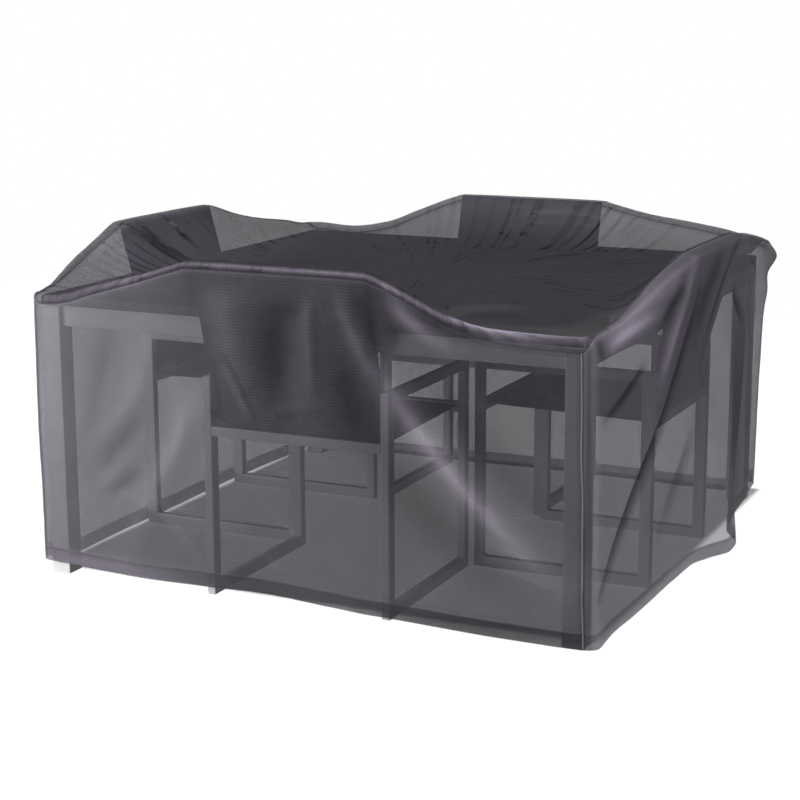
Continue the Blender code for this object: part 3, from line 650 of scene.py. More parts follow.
def cloth_grid(rows, places, from_seam):
    """A grid of cloth points and the shade and highlight painted on them: a row for each place
    round the cover, a column for each distance from the seam."""
    grid, from_ridge = [], []
    for values in smooth_loop(rows, places):
        line, origin = profile(values)
        way = way_along(line)
        distances = from_seam(values, way - way[origin])
        grid.append(walk(line, origin, distances))
        from_ridge.append(distances)
    grid, from_ridge = np.array(grid), np.array(from_ridge)
    points, tone = shape_side(grid.reshape(-1, 3))
    places = np.array([round_cover(point) for point in grid[:, 0]])
    table = np.array([
        (SIDES.index(side) + along / SIDE_SPAN + 0.5, *band)
        for side, along, *band in RIDGE_PAINTED_HIGHLIGHT
    ])
    light, centre, reach = (
        np.interp(places, table[:, 0], column, period=4)[:, None] for column in table[:, 1:].T
    )
    reach = reach * (1 + 0.25 * wrinkle(grid[:, 0] * (1, 1, 0), 0.06, 2.3)[:, None])
    tone = tone.reshape(grid.shape[:2])
    # a painted highlight along the ridge
    tone += light * band(from_ridge, centre, reach)
    return points.reshape(grid.shape), tone


def grid_normals(grid, closed):
    """Normals of a grid of points, out of the cover."""
    if closed:
        wide = np.concatenate((grid[-1:], grid, grid[:1]))
        along = (wide[2:] - wide[:-2]) / 2
    else:
        along = np.gradient(grid, axis=0)
    down = np.gradient(grid, axis=1)
    normal = np.cross(down, along)
    return normal / np.linalg.norm(normal, axis=2)[:, :, None]


def wrinkle(points, size, seed):
    """Smooth noise at points, from -1 to 1, with waves of about a size."""
    scaled = points / size + seed
    return np.array([noise.noise(Vector(point)) for point in scaled])


def waves(points, wave):
    """The cloth's own uneven waves at points, from -1 to 1."""
    return wrinkle(points * (1, 1, wave.upright), wave.size, wave.seed)


def band(value, middle, width):
    """A soft band: 1 where a value is at the middle, falling to 0 on both sides."""
    return np.exp(-(((value - middle) / width) ** 2))


# ---------------------------------------------------------------- the cloth pieces
def grid_body(columns, lines):
    """A flat grid whose vertices hold their place, counted column by column."""
    body = bmesh.new()
    bmesh.ops.create_grid(body, x_segments=columns - 1, y_segments=lines - 1, size=1.0)
    place = body.verts.layers.int.new("place")
    for vertex in body.verts:
        column = round((vertex.co.x + 1) / 2 * (columns - 1))
        line = round((vertex.co.y + 1) / 2 * (lines - 1))
        vertex[place] = column * lines + line
    return body


def ring_body(columns, lines):
    """An open cylinder whose vertices hold their place, counted column by column."""
    body = bmesh.new()
    bmesh.ops.create_cone(
        body, cap_ends=False, segments=columns, radius1=1.0, radius2=1.0, depth=2.0
    )
    upright = [edge for edge in body.edges if abs(edge.verts[0].co.z - edge.verts[1].co.z) > 1]
    bmesh.ops.subdivide_edges(body, edges=upright, cuts=lines - 2)
    place = body.verts.layers.int.new("place")
    # Open fault: the vertices stand halfway between two whole numbers, so round() can give
    # neighbours the same column. math.floor() would tell them apart.
    for vertex in body.verts:
        turn = math.atan2(vertex.co.y, vertex.co.x) / (2 * math.pi)
        column = round(turn * columns) % columns
        line = round((1 - vertex.co.z) / 2 * (lines - 1))
        vertex[place] = column * lines + line
    return body


def lay_out(body, points):
    """Move each vertex to its place's point."""
    place = body.verts.layers.int["place"]
    for vertex in body.verts:
        vertex.co = points[vertex[place]]


def face_towards(body, outward):
    """Turn all faces round if the first one points away from outward."""
    body.normal_update()
    body.faces.ensure_lookup_table()
    if body.faces[0].normal.dot(Vector(outward)) < 0:
        bmesh.ops.reverse_faces(body, faces=body.faces)


def piece_from(name, body, material, cut=None, values=None):
    """A shown piece at the origin. cut is the place in the flat cloth of each numbered vertex,
    in metres, and values the other amounts there that the material reads."""
    mesh = bpy.data.meshes.new(name)
    body.verts.ensure_lookup_table()
    if cut is not None:
        order = body.verts.layers.int["place"]
        place = np.array([vertex[order] for vertex in body.verts])
    body.to_mesh(mesh)
    body.free()
    if cut is not None:
        corners = np.zeros(len(mesh.loops), dtype=np.int32)
        mesh.loops.foreach_get("vertex_index", corners)
        cut_map = mesh.uv_layers.new(name="cut")
        cut_map.data.foreach_set("uv", cut[place][corners].astype(np.float32).ravel())
        for label, amounts in values.items():
            attribute = mesh.attributes.new(label, "FLOAT", "POINT")
            attribute.data.foreach_set("value", amounts[place].astype(np.float32))
    mesh.shade_smooth()
    mesh.materials.append(material)
    piece = bpy.data.objects.new(name, mesh)
    bpy.context.scene.collection.objects.link(piece)
    return piece


def thicken(piece, thickness=CLOTH):
    """Give a cloth piece its thickness."""
    shell = piece.modifiers.new("cloth thickness", "SOLIDIFY")
    shell.thickness = thickness
    shell.offset = 0.0


NEAR_SEAM = np.array((0, 0.002, 0.005, 0.009, 0.014, 0.020, 0.027, 0.035))
ABOVE_HEM = np.array((0.046, 0.0405, 0.0375, 0.0362, HEM_STITCH, 0.0348, 0.0335, 0.030,
                      0.024, 0.017, 0.010, 0.004, 0.0))
HEM_STITCH_LINE = list(ABOVE_HEM).index(HEM_STITCH) - len(ABOVE_HEM)
HEM_TURN = np.radians((45, 90, 135))


def turn_up_hem(grid, normal):
    """The turned-up part of a hem: a tight bend, then the inner layer up to the stitches."""
    edge, inward = grid[:, -1], -normal[:, -1]
    upward = grid[:, -2] - edge
    upward /= np.linalg.norm(upward, axis=1)[:, None]
    bend = [
        edge + HEM_BEND * (inward * (1 - math.cos(angle)) - upward * math.sin(angle))
        for angle in HEM_TURN
    ]
    inner = grid - 2 * HEM_BEND * normal
    last = len(ABOVE_HEM) - 3
    return np.stack(bend + [inner[:, -1 - line] for line in range(last)], axis=1)


def build_side(side, start, end, rows, material):
    """A side panel, from the upright seam before its left corner to the one before its right,
    with the hem turned up inside. Gives its points and normals too."""
    places = fine_places(rows, start, end, STEP)

    def from_seam(values, way):
        upper = values[12] + NEAR_SEAM
        lower = way[-1] - ABOVE_HEM
        between = np.linspace(upper[-1], lower[0], SIDE_ROWS + 2)[1:-1]
        return np.concatenate((upper, between, lower))

    grid, tone = cloth_grid(rows, places, from_seam)
    normal = grid_normals(grid, closed=False)
    down = np.zeros(grid.shape[:2])
    down[:, 1:] = np.cumsum(np.linalg.norm(np.diff(grid, axis=1), axis=2), axis=1)
    above_hem = down[:, -1:] - down
    along = way_along(grid[:, len(NEAR_SEAM)])

    flat = grid.reshape(-1, 3)
    ripple = SIDE_RIPPLE.depth * waves(flat, SIDE_RIPPLE)
    ripple += SIDE_FINE_RIPPLE.depth * waves(flat, SIDE_FINE_RIPPLE)
    ripple = ripple.reshape(down.shape)
    pucker = SIDE_PUCKER.depth * waves(flat, SIDE_PUCKER).reshape(down.shape)
    stitch_dip = STITCH_DIP * band(above_hem, HEM_STITCH, STITCH_DIP_WIDTH)
    over_rail = ramp(grid[:, :, 2], *OVER_RAIL_Z)
    push = ripple * (1 - over_rail) * ramp(down, 0, 0.03) - stitch_dip
    near_hem = 0.5 * np.exp(-np.abs(above_hem - HEM_STITCH) / PUCKER_AT_HEM)
    near_seam = 0.8 * np.exp(-down / PUCKER_AT_SEAM) * (1 - 0.6 * over_rail)
    push += pucker * (near_hem + near_seam)
    from_start = np.repeat(along[:, None], grid.shape[1], axis=1)
    # painted shade in the hollow beside the seam, painted highlight on the swell
    for place, width, out, shade in BESIDE_SEAM:
        share = band(from_start, place, width) * ramp(down, 0.0, 0.02)
        push += out * share
        tone += shade * share
    # painted highlight along the hem's top edge, painted shade along its stitches
    tone += 0.5 * band(above_hem, *HEM_PAINTED_HIGHLIGHT)
    tone -= 0.5 * band(above_hem, *HEM_PAINTED_SHADE)
    grid = grid + normal * push[:, :, None]

    turned = turn_up_hem(grid, normal)
    count = turned.shape[1]
    points = np.concatenate((grid, turned), axis=1)
    down = np.concatenate(
        (down, down[:, -1:] + np.arange(1, count + 1) * HEM_DEPTH / count), axis=1
    )
    columns, lines = points.shape[:2]
    cut = np.stack((np.repeat(along[:, None], lines, axis=1), down), axis=2)
    to_end = np.minimum(along, along[-1] - along)[:, None]
    turned_up = ramp(HEM_STITCH + 0.001 - above_hem, 0, 0.0015)
    near = 1 - ramp(np.minimum(down[:, : -count], to_end), *SEAM_OVERLAP)
    near *= 1 - turned_up
    turned_up = np.concatenate((turned_up, np.ones(turned.shape[:2])), axis=1)
    near = np.concatenate((near, np.zeros(turned.shape[:2])), axis=1)
    tone = np.concatenate((tone, np.repeat(tone[:, -1:], count, axis=1)), axis=1)

    body = grid_body(columns, lines)
    lay_out(body, points.reshape(-1, 3))
    face_towards(body, normal[0, 0])
    values = {"tone": tone.ravel(), "turned": turned_up.ravel(), "seam": near.ravel()}
    piece = piece_from(f"cover_{side}_cloth", body, material, cut.reshape(-1, 2), values)
    thicken(piece)
    return piece, grid, normal


def build_top(rows, material):
    """The top panel: flat on the table and rising to the backs of the chairs."""
    places = fine_places(rows, 0, len(rows), TOP_STEP)[:-1]

    def from_seam(values, way):
        upper = values[12] - NEAR_SEAM
        climb = np.linspace(upper[-1], way[0], TOP_RINGS_CLIMB + 1)[1:]
        return np.concatenate((upper, climb))

    grid, tone = cloth_grid(rows, places, from_seam)
    share = 1 - np.arange(1, TOP_RINGS_FLAT + 1) / TOP_RINGS_FLAT
    flat = grid[:, -1:] * share[None, :, None]
    flat[:, :, 2] = REST
    grid = np.concatenate((grid, flat), axis=1)
    tone = np.concatenate((tone, np.zeros(flat.shape[:2])), axis=1)
    normal = grid_normals(grid, closed=True)
    normal[:, -2:] = (0, 0, 1)
    inside = np.zeros(grid.shape[:2])
    inside[:, 1:] = np.cumsum(np.linalg.norm(np.diff(grid, axis=1), axis=2), axis=1)

    spread = grid.reshape(-1, 3)
    ripple = waves(spread, TOP_RIPPLE).reshape(inside.shape)
    pucker = waves(spread, TOP_PUCKER).reshape(inside.shape)
    height = grid[:, :, 2]
    lifted = ramp(height, REST + 0.004, REST + 0.03) * ramp(0.855 - height, 0, 0.03)
    push = TOP_RIPPLE.depth * ripple * lifted * ramp(inside, 0, 0.03)
    push += TOP_PUCKER.depth * pucker * np.exp(-inside / PUCKER_AT_SEAM) * lifted
    push += TABLE_RIPPLE * np.clip(ripple, 0, 1) * (1 - lifted) * ramp(inside, 0.05, 0.10)
    folds, shade = (amount.reshape(inside.shape) for amount in fold_push(spread, "top"))
    push += np.maximum(folds * ramp(inside, 0.005, 0.04), -0.004 * lifted)
    # painted shade and highlight of the top's folds
    tone += shade
    grid = grid + normal * push[:, :, None]

    columns, lines = grid.shape[:2]
    points = grid.reshape(-1, 3)
    near = (1 - ramp(inside, *SEAM_OVERLAP)).ravel()
    body = ring_body(columns, lines)
    lay_out(body, points)
    place = body.verts.layers.int["place"]
    centre = [vertex for vertex in body.verts if vertex[place] % lines == lines - 1]
    bmesh.ops.pointmerge(body, verts=centre, merge_co=(0, 0, REST))
    bmesh.ops.recalc_face_normals(body, faces=body.faces)
    face_towards(body, (0, 0, 1))
    values = {"tone": tone.ravel(), "turned": np.zeros(tone.size), "seam": near}
    piece = piece_from("cover_top_cloth", body, material, points[:, :2], values)
    thicken(piece)
    return piece, grid, normal


def path_frames(path, outward, closed):
    """The three directions at each point of a path: along, out of the cover, and across."""
    if closed:
        along = np.roll(path, -1, 0) - np.roll(path, 1, 0)
    else:
        along = np.gradient(path, axis=0)
    along = along / np.linalg.norm(along, axis=1)[:, None]
    across = np.cross(along, outward)
    across /= np.linalg.norm(across, axis=1)[:, None]
    return along, np.cross(across, along), across


def piping(name, path, outward, closed, material, width=PIPING_WIDTH, wander=0.0):
    """A seam's raised, rounded edge along a path on the cloth, which wanders a little."""
    _, out, across = path_frames(path, outward, closed)
    path = path + wander * wrinkle(path, 0.11, 6.1)[:, None] * across
    turn = np.linspace(0, 2 * np.pi, PIPING_FACES + 1)
    ring = (
        path[:, None]
        + width / 2 * np.cos(turn)[None, :, None] * across[:, None]
        + PIPING_HEIGHT * (0.5 + 0.5 * np.sin(turn))[None, :, None] * out[:, None]
    )
    body = (ring_body if closed else grid_body)(len(path), len(turn))
    lay_out(body, ring.reshape(-1, 3))
    bmesh.ops.remove_doubles(body, verts=body.verts, dist=1e-6)
    if not closed:
        bmesh.ops.holes_fill(body, edges=[edge for edge in body.edges if edge.is_boundary])
    bmesh.ops.recalc_face_normals(body, faces=body.faces)
    return piece_from(name, body, material)


def stitches(name, path, outward, closed, material):
    """A row of separate stitches lying on the cloth along a path."""
    along, out, across = path_frames(path, outward, closed)
    if closed:
        path = np.vstack((path, path[:1]))
        along, out, across = (np.vstack((way, way[:1])) for way in (along, out, across))
    way = way_along(path)
    body = bmesh.new()
    bmesh.ops.create_uvsphere(body, u_segments=5, v_segments=4, radius=1.0)
    bmesh.ops.recalc_face_normals(body, faces=body.faces)
    one = bpy.data.meshes.new("one stitch")
    body.to_mesh(one)
    spots = np.arange(STITCH_PITCH / 2, way[-1], STITCH_PITCH)
    for _ in spots[1:]:
        body.from_mesh(one)
    body.verts.ensure_lookup_table()
    count = len(one.vertices)
    size = (STITCH_THICK / 2, STITCH_THICK / 2, STITCH_LENGTH / 2)
    for index, spot in enumerate(spots):
        at = [
            Vector([np.interp(spot, way, line[:, axis]) for axis in range(3)])
            for line in (path, along, out, across)
        ]
        lift = at[2].normalized() * (CLOTH / 2 + STITCH_RISE)
        turn = Matrix([at[3].normalized(), at[2].normalized(), at[1].normalized()]).transposed()
        place = Matrix.Translation(at[0] + lift) @ turn.to_4x4() @ Matrix.Diagonal((*size, 1))
        for vertex in body.verts[index * count:(index + 1) * count]:
            vertex.co = place @ vertex.co
    bpy.data.meshes.remove(one)
    return piece_from(name, body, material)


# ---------------------------------------------------------------- the chairs' slings
def across_sling(count):
    """Places across a sling, closer together at its side hems."""
    half = SLING_WIDTH / 2
    hem = np.array((0.0, 0.0015, 0.004, SLING_HEM - 0.002, SLING_HEM, SLING_HEM + 0.002))
    middle = np.linspace(-half + SLING_HEM + 0.006, half - SLING_HEM - 0.006, count)
    return np.concatenate((hem - half, middle, half - hem[::-1]))


def sling_values(across, shape):
    """Where a sling is doubled in its side hems, and the dip along their stitches."""
    edge = SLING_WIDTH / 2 - np.abs(across)
    hem = (1 - ramp(edge, SLING_HEM, SLING_HEM + 0.0015))[:, None] * np.ones(shape)
    dip = (0.0006 * np.exp(-(((edge - SLING_HEM) / 0.002) ** 2)))[:, None]
    return hem, dip


def on_chair(side, along, out, height):
    """Points of a chair in the row frame."""
    plan = np.stack((along, out), axis=-1) @ np.stack(
        (plan_point(side, 1, 0), plan_point(side, 0, 1))
    )
    return np.concatenate((plan + CHAIRS_MIDDLE, height[..., None]), axis=-1)


def build_seat(side, material):
    """A seat of stretched mesh between the side tubes. It slopes to the back and sags."""
    across = across_sling(15)
    back = np.linspace(0, 1, 30)[None, :]
    shape = (len(across), back.size)
    hem, dip = sling_values(across, shape)
    spread = (2 * across / SLING_WIDTH)[:, None]
    out = SEAT_OUT[0] + (SEAT_OUT[1] - SEAT_OUT[0]) * back * np.ones(shape)
    height = SEAT_Z[0] + (SEAT_Z[1] - SEAT_Z[0]) * back
    height = height - SEAT_SAG * (1 - spread**2) * np.sin(np.pi * back) - dip
    points = on_chair(side, across[:, None] * np.ones(shape), out, height)
    cut = np.stack((across[:, None] * np.ones(shape), out), axis=2)
    body = grid_body(*shape)
    lay_out(body, points.reshape(-1, 3))
    face_towards(body, (0, 0, 1))
    piece = piece_from(
        f"chair_{side}_seat_sling", body, material, cut.reshape(-1, 2), {"hem": hem.ravel()}
    )
    thicken(piece, SLING_CLOTH)
    return piece, (SLING_WIDTH, SEAT_OUT[1] - SEAT_OUT[0])


def back_out(height):
    """How far out the outer face of a chair's back is: upright, then leaning above the arms."""
    past = height - ARM_TOP
    bend = (np.clip(past, -BACK_KNEE, BACK_KNEE) + BACK_KNEE) ** 2 / (4 * BACK_KNEE)
    soft = np.where(past < BACK_KNEE, bend, past)
    return BACK_FACE + (BACK_TOP_OUT - BACK_FACE) / (BACK_TOP - ARM_TOP) * soft


def build_back(side, material):
    """A back of stretched mesh: a sleeve round the frame, with a rounded top and foot."""
    radius = (BACK_THICKNESS - SLING_CLOTH) / 2
    low, high = BACK_FOOT + SLING_CLOTH / 2 + radius, BACK_TOP - SLING_CLOTH / 2 - radius
    rise = np.linspace(low, high, 24)
    turn = np.radians(np.arange(22.5, 179, 22.5))
    middle = back_out(np.array((low, high))) - BACK_THICKNESS / 2
    foot = np.radians(np.arange(-90, -1, 22.5))
    loop = np.concatenate((
        np.stack((middle[0] + radius * np.cos(foot), low + radius * np.sin(foot)), 1)[:-1],
        np.stack((back_out(rise) - SLING_CLOTH / 2, rise), 1),
        np.stack((middle[1] + radius * np.cos(turn), high + radius * np.sin(turn)), 1),
        np.stack((back_out(rise) - BACK_THICKNESS + SLING_CLOTH / 2, rise), 1)[::-1],
        np.stack((middle[0] - radius * np.cos(foot), low + radius * np.sin(foot)), 1)[:0:-1],
    ))
    across = across_sling(13)
    shape = (len(loop), len(across))
    hem, dip = (amount.T for amount in sling_values(across, shape[::-1]))
    centre = back_out(loop[:, 1]) - BACK_THICKNESS / 2
    inward = np.sign(centre - loop[:, 0])[:, None] * dip
    out = loop[:, :1] + inward
    points = on_chair(side, across[None, :] * np.ones(shape), out, loop[:, 1:] * np.ones(shape))
    way = way_along(loop)
    cut = np.stack((across[None, :] * np.ones(shape), way[:, None] * np.ones(shape)), axis=2)
    body = ring_body(*shape)
    lay_out(body, points.reshape(-1, 3))
    bmesh.ops.recalc_face_normals(body, faces=body.faces)
    piece = piece_from(
        f"chair_{side}_back_sling", body, material, cut.reshape(-1, 2), {"hem": hem.ravel()}
    )
    thicken(piece, SLING_CLOTH)
    girth = way[-1] + np.linalg.norm(loop[-1] - loop[0])
    return piece, (SLING_WIDTH, float(girth))


def build_bars(side, material):
    """The two flat upright bars that carry a back, above the arms."""
    body = bmesh.new()
    for hand in (-1, 1):
        made = bmesh.ops.create_cube(body, size=1.0)["verts"]
        edges = list({edge for vertex in made for edge in vertex.link_edges})
        size = (BAR_WIDTH, BAR_DEPTH, BAR_Z[1] - BAR_Z[0])
        bmesh.ops.scale(body, vec=size, verts=made)
        beside = hand * (SLING_WIDTH + BAR_WIDTH + 2 * BAR_GAP) / 2
        bmesh.ops.translate(body, vec=(beside, 0, 0), verts=made)
        bmesh.ops.bevel(
            body, geom=edges, offset=BAR_EDGE, segments=2, affect="EDGES", profile=0.5, material=-1
        )
    middle = sum(BAR_Z) / 2
    places = np.array([vertex.co for vertex in body.verts])
    height = places[:, 2] + middle
    out = BACK_FACE - BACK_THICKNESS / 2 + places[:, 1]
    for vertex, point in zip(body.verts, on_chair(side, places[:, 0], out, height)):
        vertex.co = point
    bmesh.ops.recalc_face_normals(body, faces=body.faces)
    return piece_from(f"chair_{side}_back_bars", body, material)


# ---------------------------------------------------------------- finishes
def look(name):
    """A new material, its tree and its surface shader."""
    material = bpy.data.materials.new(name)
    material.use_nodes = True
    tree = material.node_tree
    return material, tree, tree.nodes["Principled BSDF"]


def node(tree, kind, inputs=None, **settings):
    """A node with its settings, and its inputs given as values or as sockets to link from."""
    made = tree.nodes.new(f"ShaderNode{kind}")
    for label, value in settings.items():
        setattr(made, label, value)
    for label, value in (inputs or {}).items():
        if isinstance(value, bpy.types.NodeSocket):
            tree.links.new(value, made.inputs[label])
        else:
            made.inputs[label].default_value = value
    return made


def maths(tree, operation, first, second=0.0, clamp=False):
    """The output of a sum worked out by a node."""
    made = node(tree, "Math", {0: first, 1: second}, operation=operation, use_clamp=clamp)
    return made.outputs[0]


def blend(tree, share, first, second):
    """The output of a mix of two colours."""
    made = node(tree, "Mix", {"Factor": share}, data_type="RGBA")
    for socket, value in ((made.inputs[6], first), (made.inputs[7], second)):
        if isinstance(value, bpy.types.NodeSocket):
            tree.links.new(value, socket)
        else:
            socket.default_value = (*value, 1.0)
    return made.outputs[2]


def mottle(tree, place, scale, detail):
    """Soft random mottling at a place, 0 to 1."""
    made = node(tree, "TexNoise", {"Vector": place, "Scale": scale, "Detail": detail})
    return made.outputs["Fac"]


def roughen(tree, shader, value, low, high, reach=(0.0, 1.0)):
    """Roughness from low to high, as a value goes over its reach."""
    limits = {"From Min": reach[0], "From Max": reach[1], "To Min": low, "To Max": high}
    made = node(tree, "MapRange", {"Value": value, **limits})
    tree.links.new(made.outputs[0], shader.inputs["Roughness"])


def emboss(tree, shader, height, strength, distance):
    """Fine relief from a height."""
    made = node(tree, "Bump", {"Height": height, "Strength": strength, "Distance": distance})
    tree.links.new(made.outputs[0], shader.inputs["Normal"])


def add_parts(tree, value, parts):
    """A value with other values added to it, each in its own amount."""
    for part, amount in parts:
        value = maths(tree, "ADD", value, maths(tree, "MULTIPLY", part, amount))
    return value


def threads(tree, distance, period):
    """Rounded threads side by side, 0 to 1, along one direction of the cut."""
    wave = maths(tree, "SINE", maths(tree, "MULTIPLY", distance, math.pi / period))
    return maths(tree, "ABSOLUTE", wave)


def sheer_cloth_look():
    """Thin charcoal cloth of an open plain weave: see-through, denser where it is doubled or
    creased, with uneven threads and a soft sheen. Painted shade darkens its colour and makes it
    denser in creases; painted highlights make it paler on ridges and folds."""
    material, tree, shader = look("charcoal_sheer_cloth")
    cut = node(tree, "UVMap", uv_map="cut").outputs["UV"]
    parts = node(tree, "SeparateXYZ", {"Vector": cut})
    along, down = parts.outputs["X"], parts.outputs["Y"]
    tone = node(tree, "Attribute", attribute_name="tone").outputs["Fac"]
    turned = node(tree, "Attribute", attribute_name="turned").outputs["Fac"]
    seam = node(tree, "Attribute", attribute_name="seam").outputs["Fac"]
    place = node(tree, "TexCoord").outputs["Object"]

    warp = threads(tree, along, WARP_PITCH)
    weft = threads(tree, down, WEFT_PITCH)
    long_way = node(tree, "Mapping", {"Vector": cut, "Scale": (300.0, 22.0, 1.0)}).outputs[0]
    short_way = node(tree, "Mapping", {"Vector": cut, "Scale": (24.0, 260.0, 1.0)}).outputs[0]
    slub_up = mottle(tree, long_way, 1.0, 2.0)
    slub_across = mottle(tree, short_way, 1.0, 2.0)
    slub = maths(tree, "ADD", slub_up, slub_across)
    slub = maths(tree, "SUBTRACT", slub, 1.0)
    cloud = mottle(tree, place, 3.2, 3.0)
    cloud = maths(tree, "SUBTRACT", cloud, 0.5)
    rib = maths(tree, "SUBTRACT", weft, 0.64)
    rib = maths(tree, "ADD", rib, maths(tree, "MULTIPLY", maths(tree, "SUBTRACT", warp, 0.64), 0.4))

    # the painted shade and highlight, with the weave's own random unevenness, set how dark the
    # colour is
    painted_light_and_unevenness = add_parts(tree, tone, ((slub, 0.35), (cloud, 0.30), (rib, 0.20)))
    dye_and_painted_light = maths(tree, "MULTIPLY", maths(tree, "POWER", DYE_AND_PAINTED_LIGHT_STEP, painted_light_and_unevenness), CLOTH_DYE)
    green, blue = (maths(tree, "MULTIPLY", dye_and_painted_light, share) for share in (DYE_GREEN, DYE_BLUE))
    colour = node(tree, "CombineColor", {"Red": dye_and_painted_light, "Green": green, "Blue": blue})
    tree.links.new(colour.outputs[0], shader.inputs["Base Color"])

    # painted crease shade makes the cloth cover more, a painted highlight a little less
    painted_crease_shade = maths(tree, "MAXIMUM", maths(tree, "MULTIPLY", tone, -1), 0)
    painted_highlight = maths(tree, "MAXIMUM", tone, 0)
    cover = add_parts(tree, maths(tree, "MULTIPLY", painted_crease_shade, CREASE_COVER), (
        (painted_highlight, PALE_COVER), (slub, 0.03), (rib, 0.03),
        (turned, HEM_COVER - CLOTH_COVER), (seam, SEAM_COVER - CLOTH_COVER),
    ))
    cover = maths(tree, "ADD", cover, CLOTH_COVER, clamp=True)
    tree.links.new(cover, shader.inputs["Alpha"])

    height = maths(tree, "ADD", rib, maths(tree, "MULTIPLY", slub, 1.5))
    emboss(tree, shader, height, 0.20, 0.0005)
    roughen(tree, shader, slub, 0.46, 0.60, (-0.4, 0.4))
    shader.inputs["Specular IOR Level"].default_value = 0.25
    shader.inputs["Sheen Weight"].default_value = 0.05
    shader.inputs["Sheen Roughness"].default_value = 0.45
    shader.inputs["Sheen Tint"].default_value = (0.80, 0.78, 0.84, 1.0)
    return material


def seam_look(name, colour, pale):
    """Spun thread or binding: matt, with a fine twist."""
    material, tree, shader = look(name)
    place = node(tree, "TexCoord").outputs["Object"]
    twist = mottle(tree, place, 900.0, 2.0)
    wear = mottle(tree, place, 35.0, 3.0)
    share = maths(tree, "MULTIPLY", twist, wear)
    tree.links.new(blend(tree, maths(tree, "MULTIPLY", share, 2.0), colour, pale),
                   shader.inputs["Base Color"])
    emboss(tree, shader, twist, 0.5, 0.0003)
    shader.inputs["Roughness"].default_value = 0.62
    shader.inputs["Sheen Weight"].default_value = 0.3
    return material


def powder_coat_look():
    """Pale powder coat on aluminium tube: a fine orange peel, a little dust, paler on edges."""
    material, tree, shader = look("pale_powder_coat")
    place = node(tree, "TexCoord").outputs["Object"]
    peel = mottle(tree, place, 420.0, 3.0)
    dust = mottle(tree, place, 7.0, 5.0)
    edge = node(tree, "Bevel", {"Radius": 0.002}, samples=4)
    flat = node(tree, "NewGeometry").outputs["Normal"]
    same = node(tree, "VectorMath", {0: edge.outputs[0], 1: flat}, operation="DOT_PRODUCT")
    worn = maths(tree, "SUBTRACT", 1.0, same.outputs["Value"])
    share = maths(tree, "ADD", dust, maths(tree, "MULTIPLY", worn, 3.0))
    colour = blend(tree, share, (0.68, 0.68, 0.69), (0.82, 0.82, 0.83))
    tree.links.new(colour, shader.inputs["Base Color"])
    emboss(tree, shader, peel, 0.2, 0.0004)
    roughen(tree, shader, dust, 0.36, 0.58)
    shader.inputs["Metallic"].default_value = 0.1
    return material


def table_top_look():
    """Dark laminate board: a fine grain along the boards, satin, with faint clouding."""
    material, tree, shader = look("dark_table_top")
    place = node(tree, "TexCoord").outputs["Object"]
    stretched = node(tree, "Mapping", {"Vector": place, "Scale": (4.0, 160.0, 40.0)}).outputs[0]
    grain = mottle(tree, stretched, 1.0, 5.0)
    cloud = mottle(tree, place, 5.0, 3.0)
    share = maths(tree, "MULTIPLY", grain, cloud)
    share = maths(tree, "MULTIPLY", share, 2.4, clamp=True)
    tree.links.new(blend(tree, share, (0.022, 0.022, 0.025), (0.060, 0.060, 0.066)),
                   shader.inputs["Base Color"])
    emboss(tree, shader, grain, 0.3, 0.0004)
    roughen(tree, shader, grain, 0.40, 0.60)
    return material


def seat_mesh_look():
    """Dark stretched seat mesh: coated yarns crossing over and under, closer in the hems, with
    a row of stitches along each hem."""
    material, tree, shader = look("dark_seat_mesh")
    cut = node(tree, "UVMap", uv_map="cut").outputs["UV"]
    parts = node(tree, "SeparateXYZ", {"Vector": cut})
    hem = node(tree, "Attribute", attribute_name="hem").outputs["Fac"]
    place = node(tree, "TexCoord").outputs["Object"]
    warp = threads(tree, parts.outputs["X"], SEAT_YARN_PITCH)
    weft = threads(tree, parts.outputs["Y"], SEAT_YARN_PITCH)
    over = node(tree, "TexChecker", {"Vector": cut, "Scale": 1 / SEAT_YARN_PITCH}).outputs["Fac"]
    woven = node(tree, "Mix", {"Factor": over, 2: warp, 3: weft}, data_type="FLOAT").outputs[0]
    uneven = mottle(tree, place, 18.0, 4.0)
    share = maths(tree, "MULTIPLY", woven, maths(tree, "MULTIPLY", uneven, 1.6))
    share = maths(tree, "SUBTRACT", share, maths(tree, "MULTIPLY", hem, 0.25), clamp=True)
    tree.links.new(blend(tree, share, (0.016, 0.016, 0.018), (0.050, 0.050, 0.054)),
                   shader.inputs["Base Color"])
    emboss(tree, shader, woven, 0.6, 0.0008)
    roughen(tree, shader, uneven, 0.55, 0.80)
    return material


def finish_furniture():
    """Give the table and the frames of the chairs their finishes, and the chairs their slings
    and the bars beside their backs."""
    coat, mesh = powder_coat_look(), seat_mesh_look()
    looks = {"pale_powder_coat": coat, "dark_table_top": table_top_look()}
    for part in frame["record"]["subparts"]:
        finish = looks.get(part["material_slot"])
        if finish:
            bpy.data.objects[part["node"]].material_slots[0].material = finish
    for side in SIDES:
        for build, part in ((build_seat, "seat"), (build_back, "back")):
            sling, flat = build(side, mesh)
            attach(sling, "root")
            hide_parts(f"chair_{side}_{part}")
        bars = build_bars(side, coat)
        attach(bars, "root")


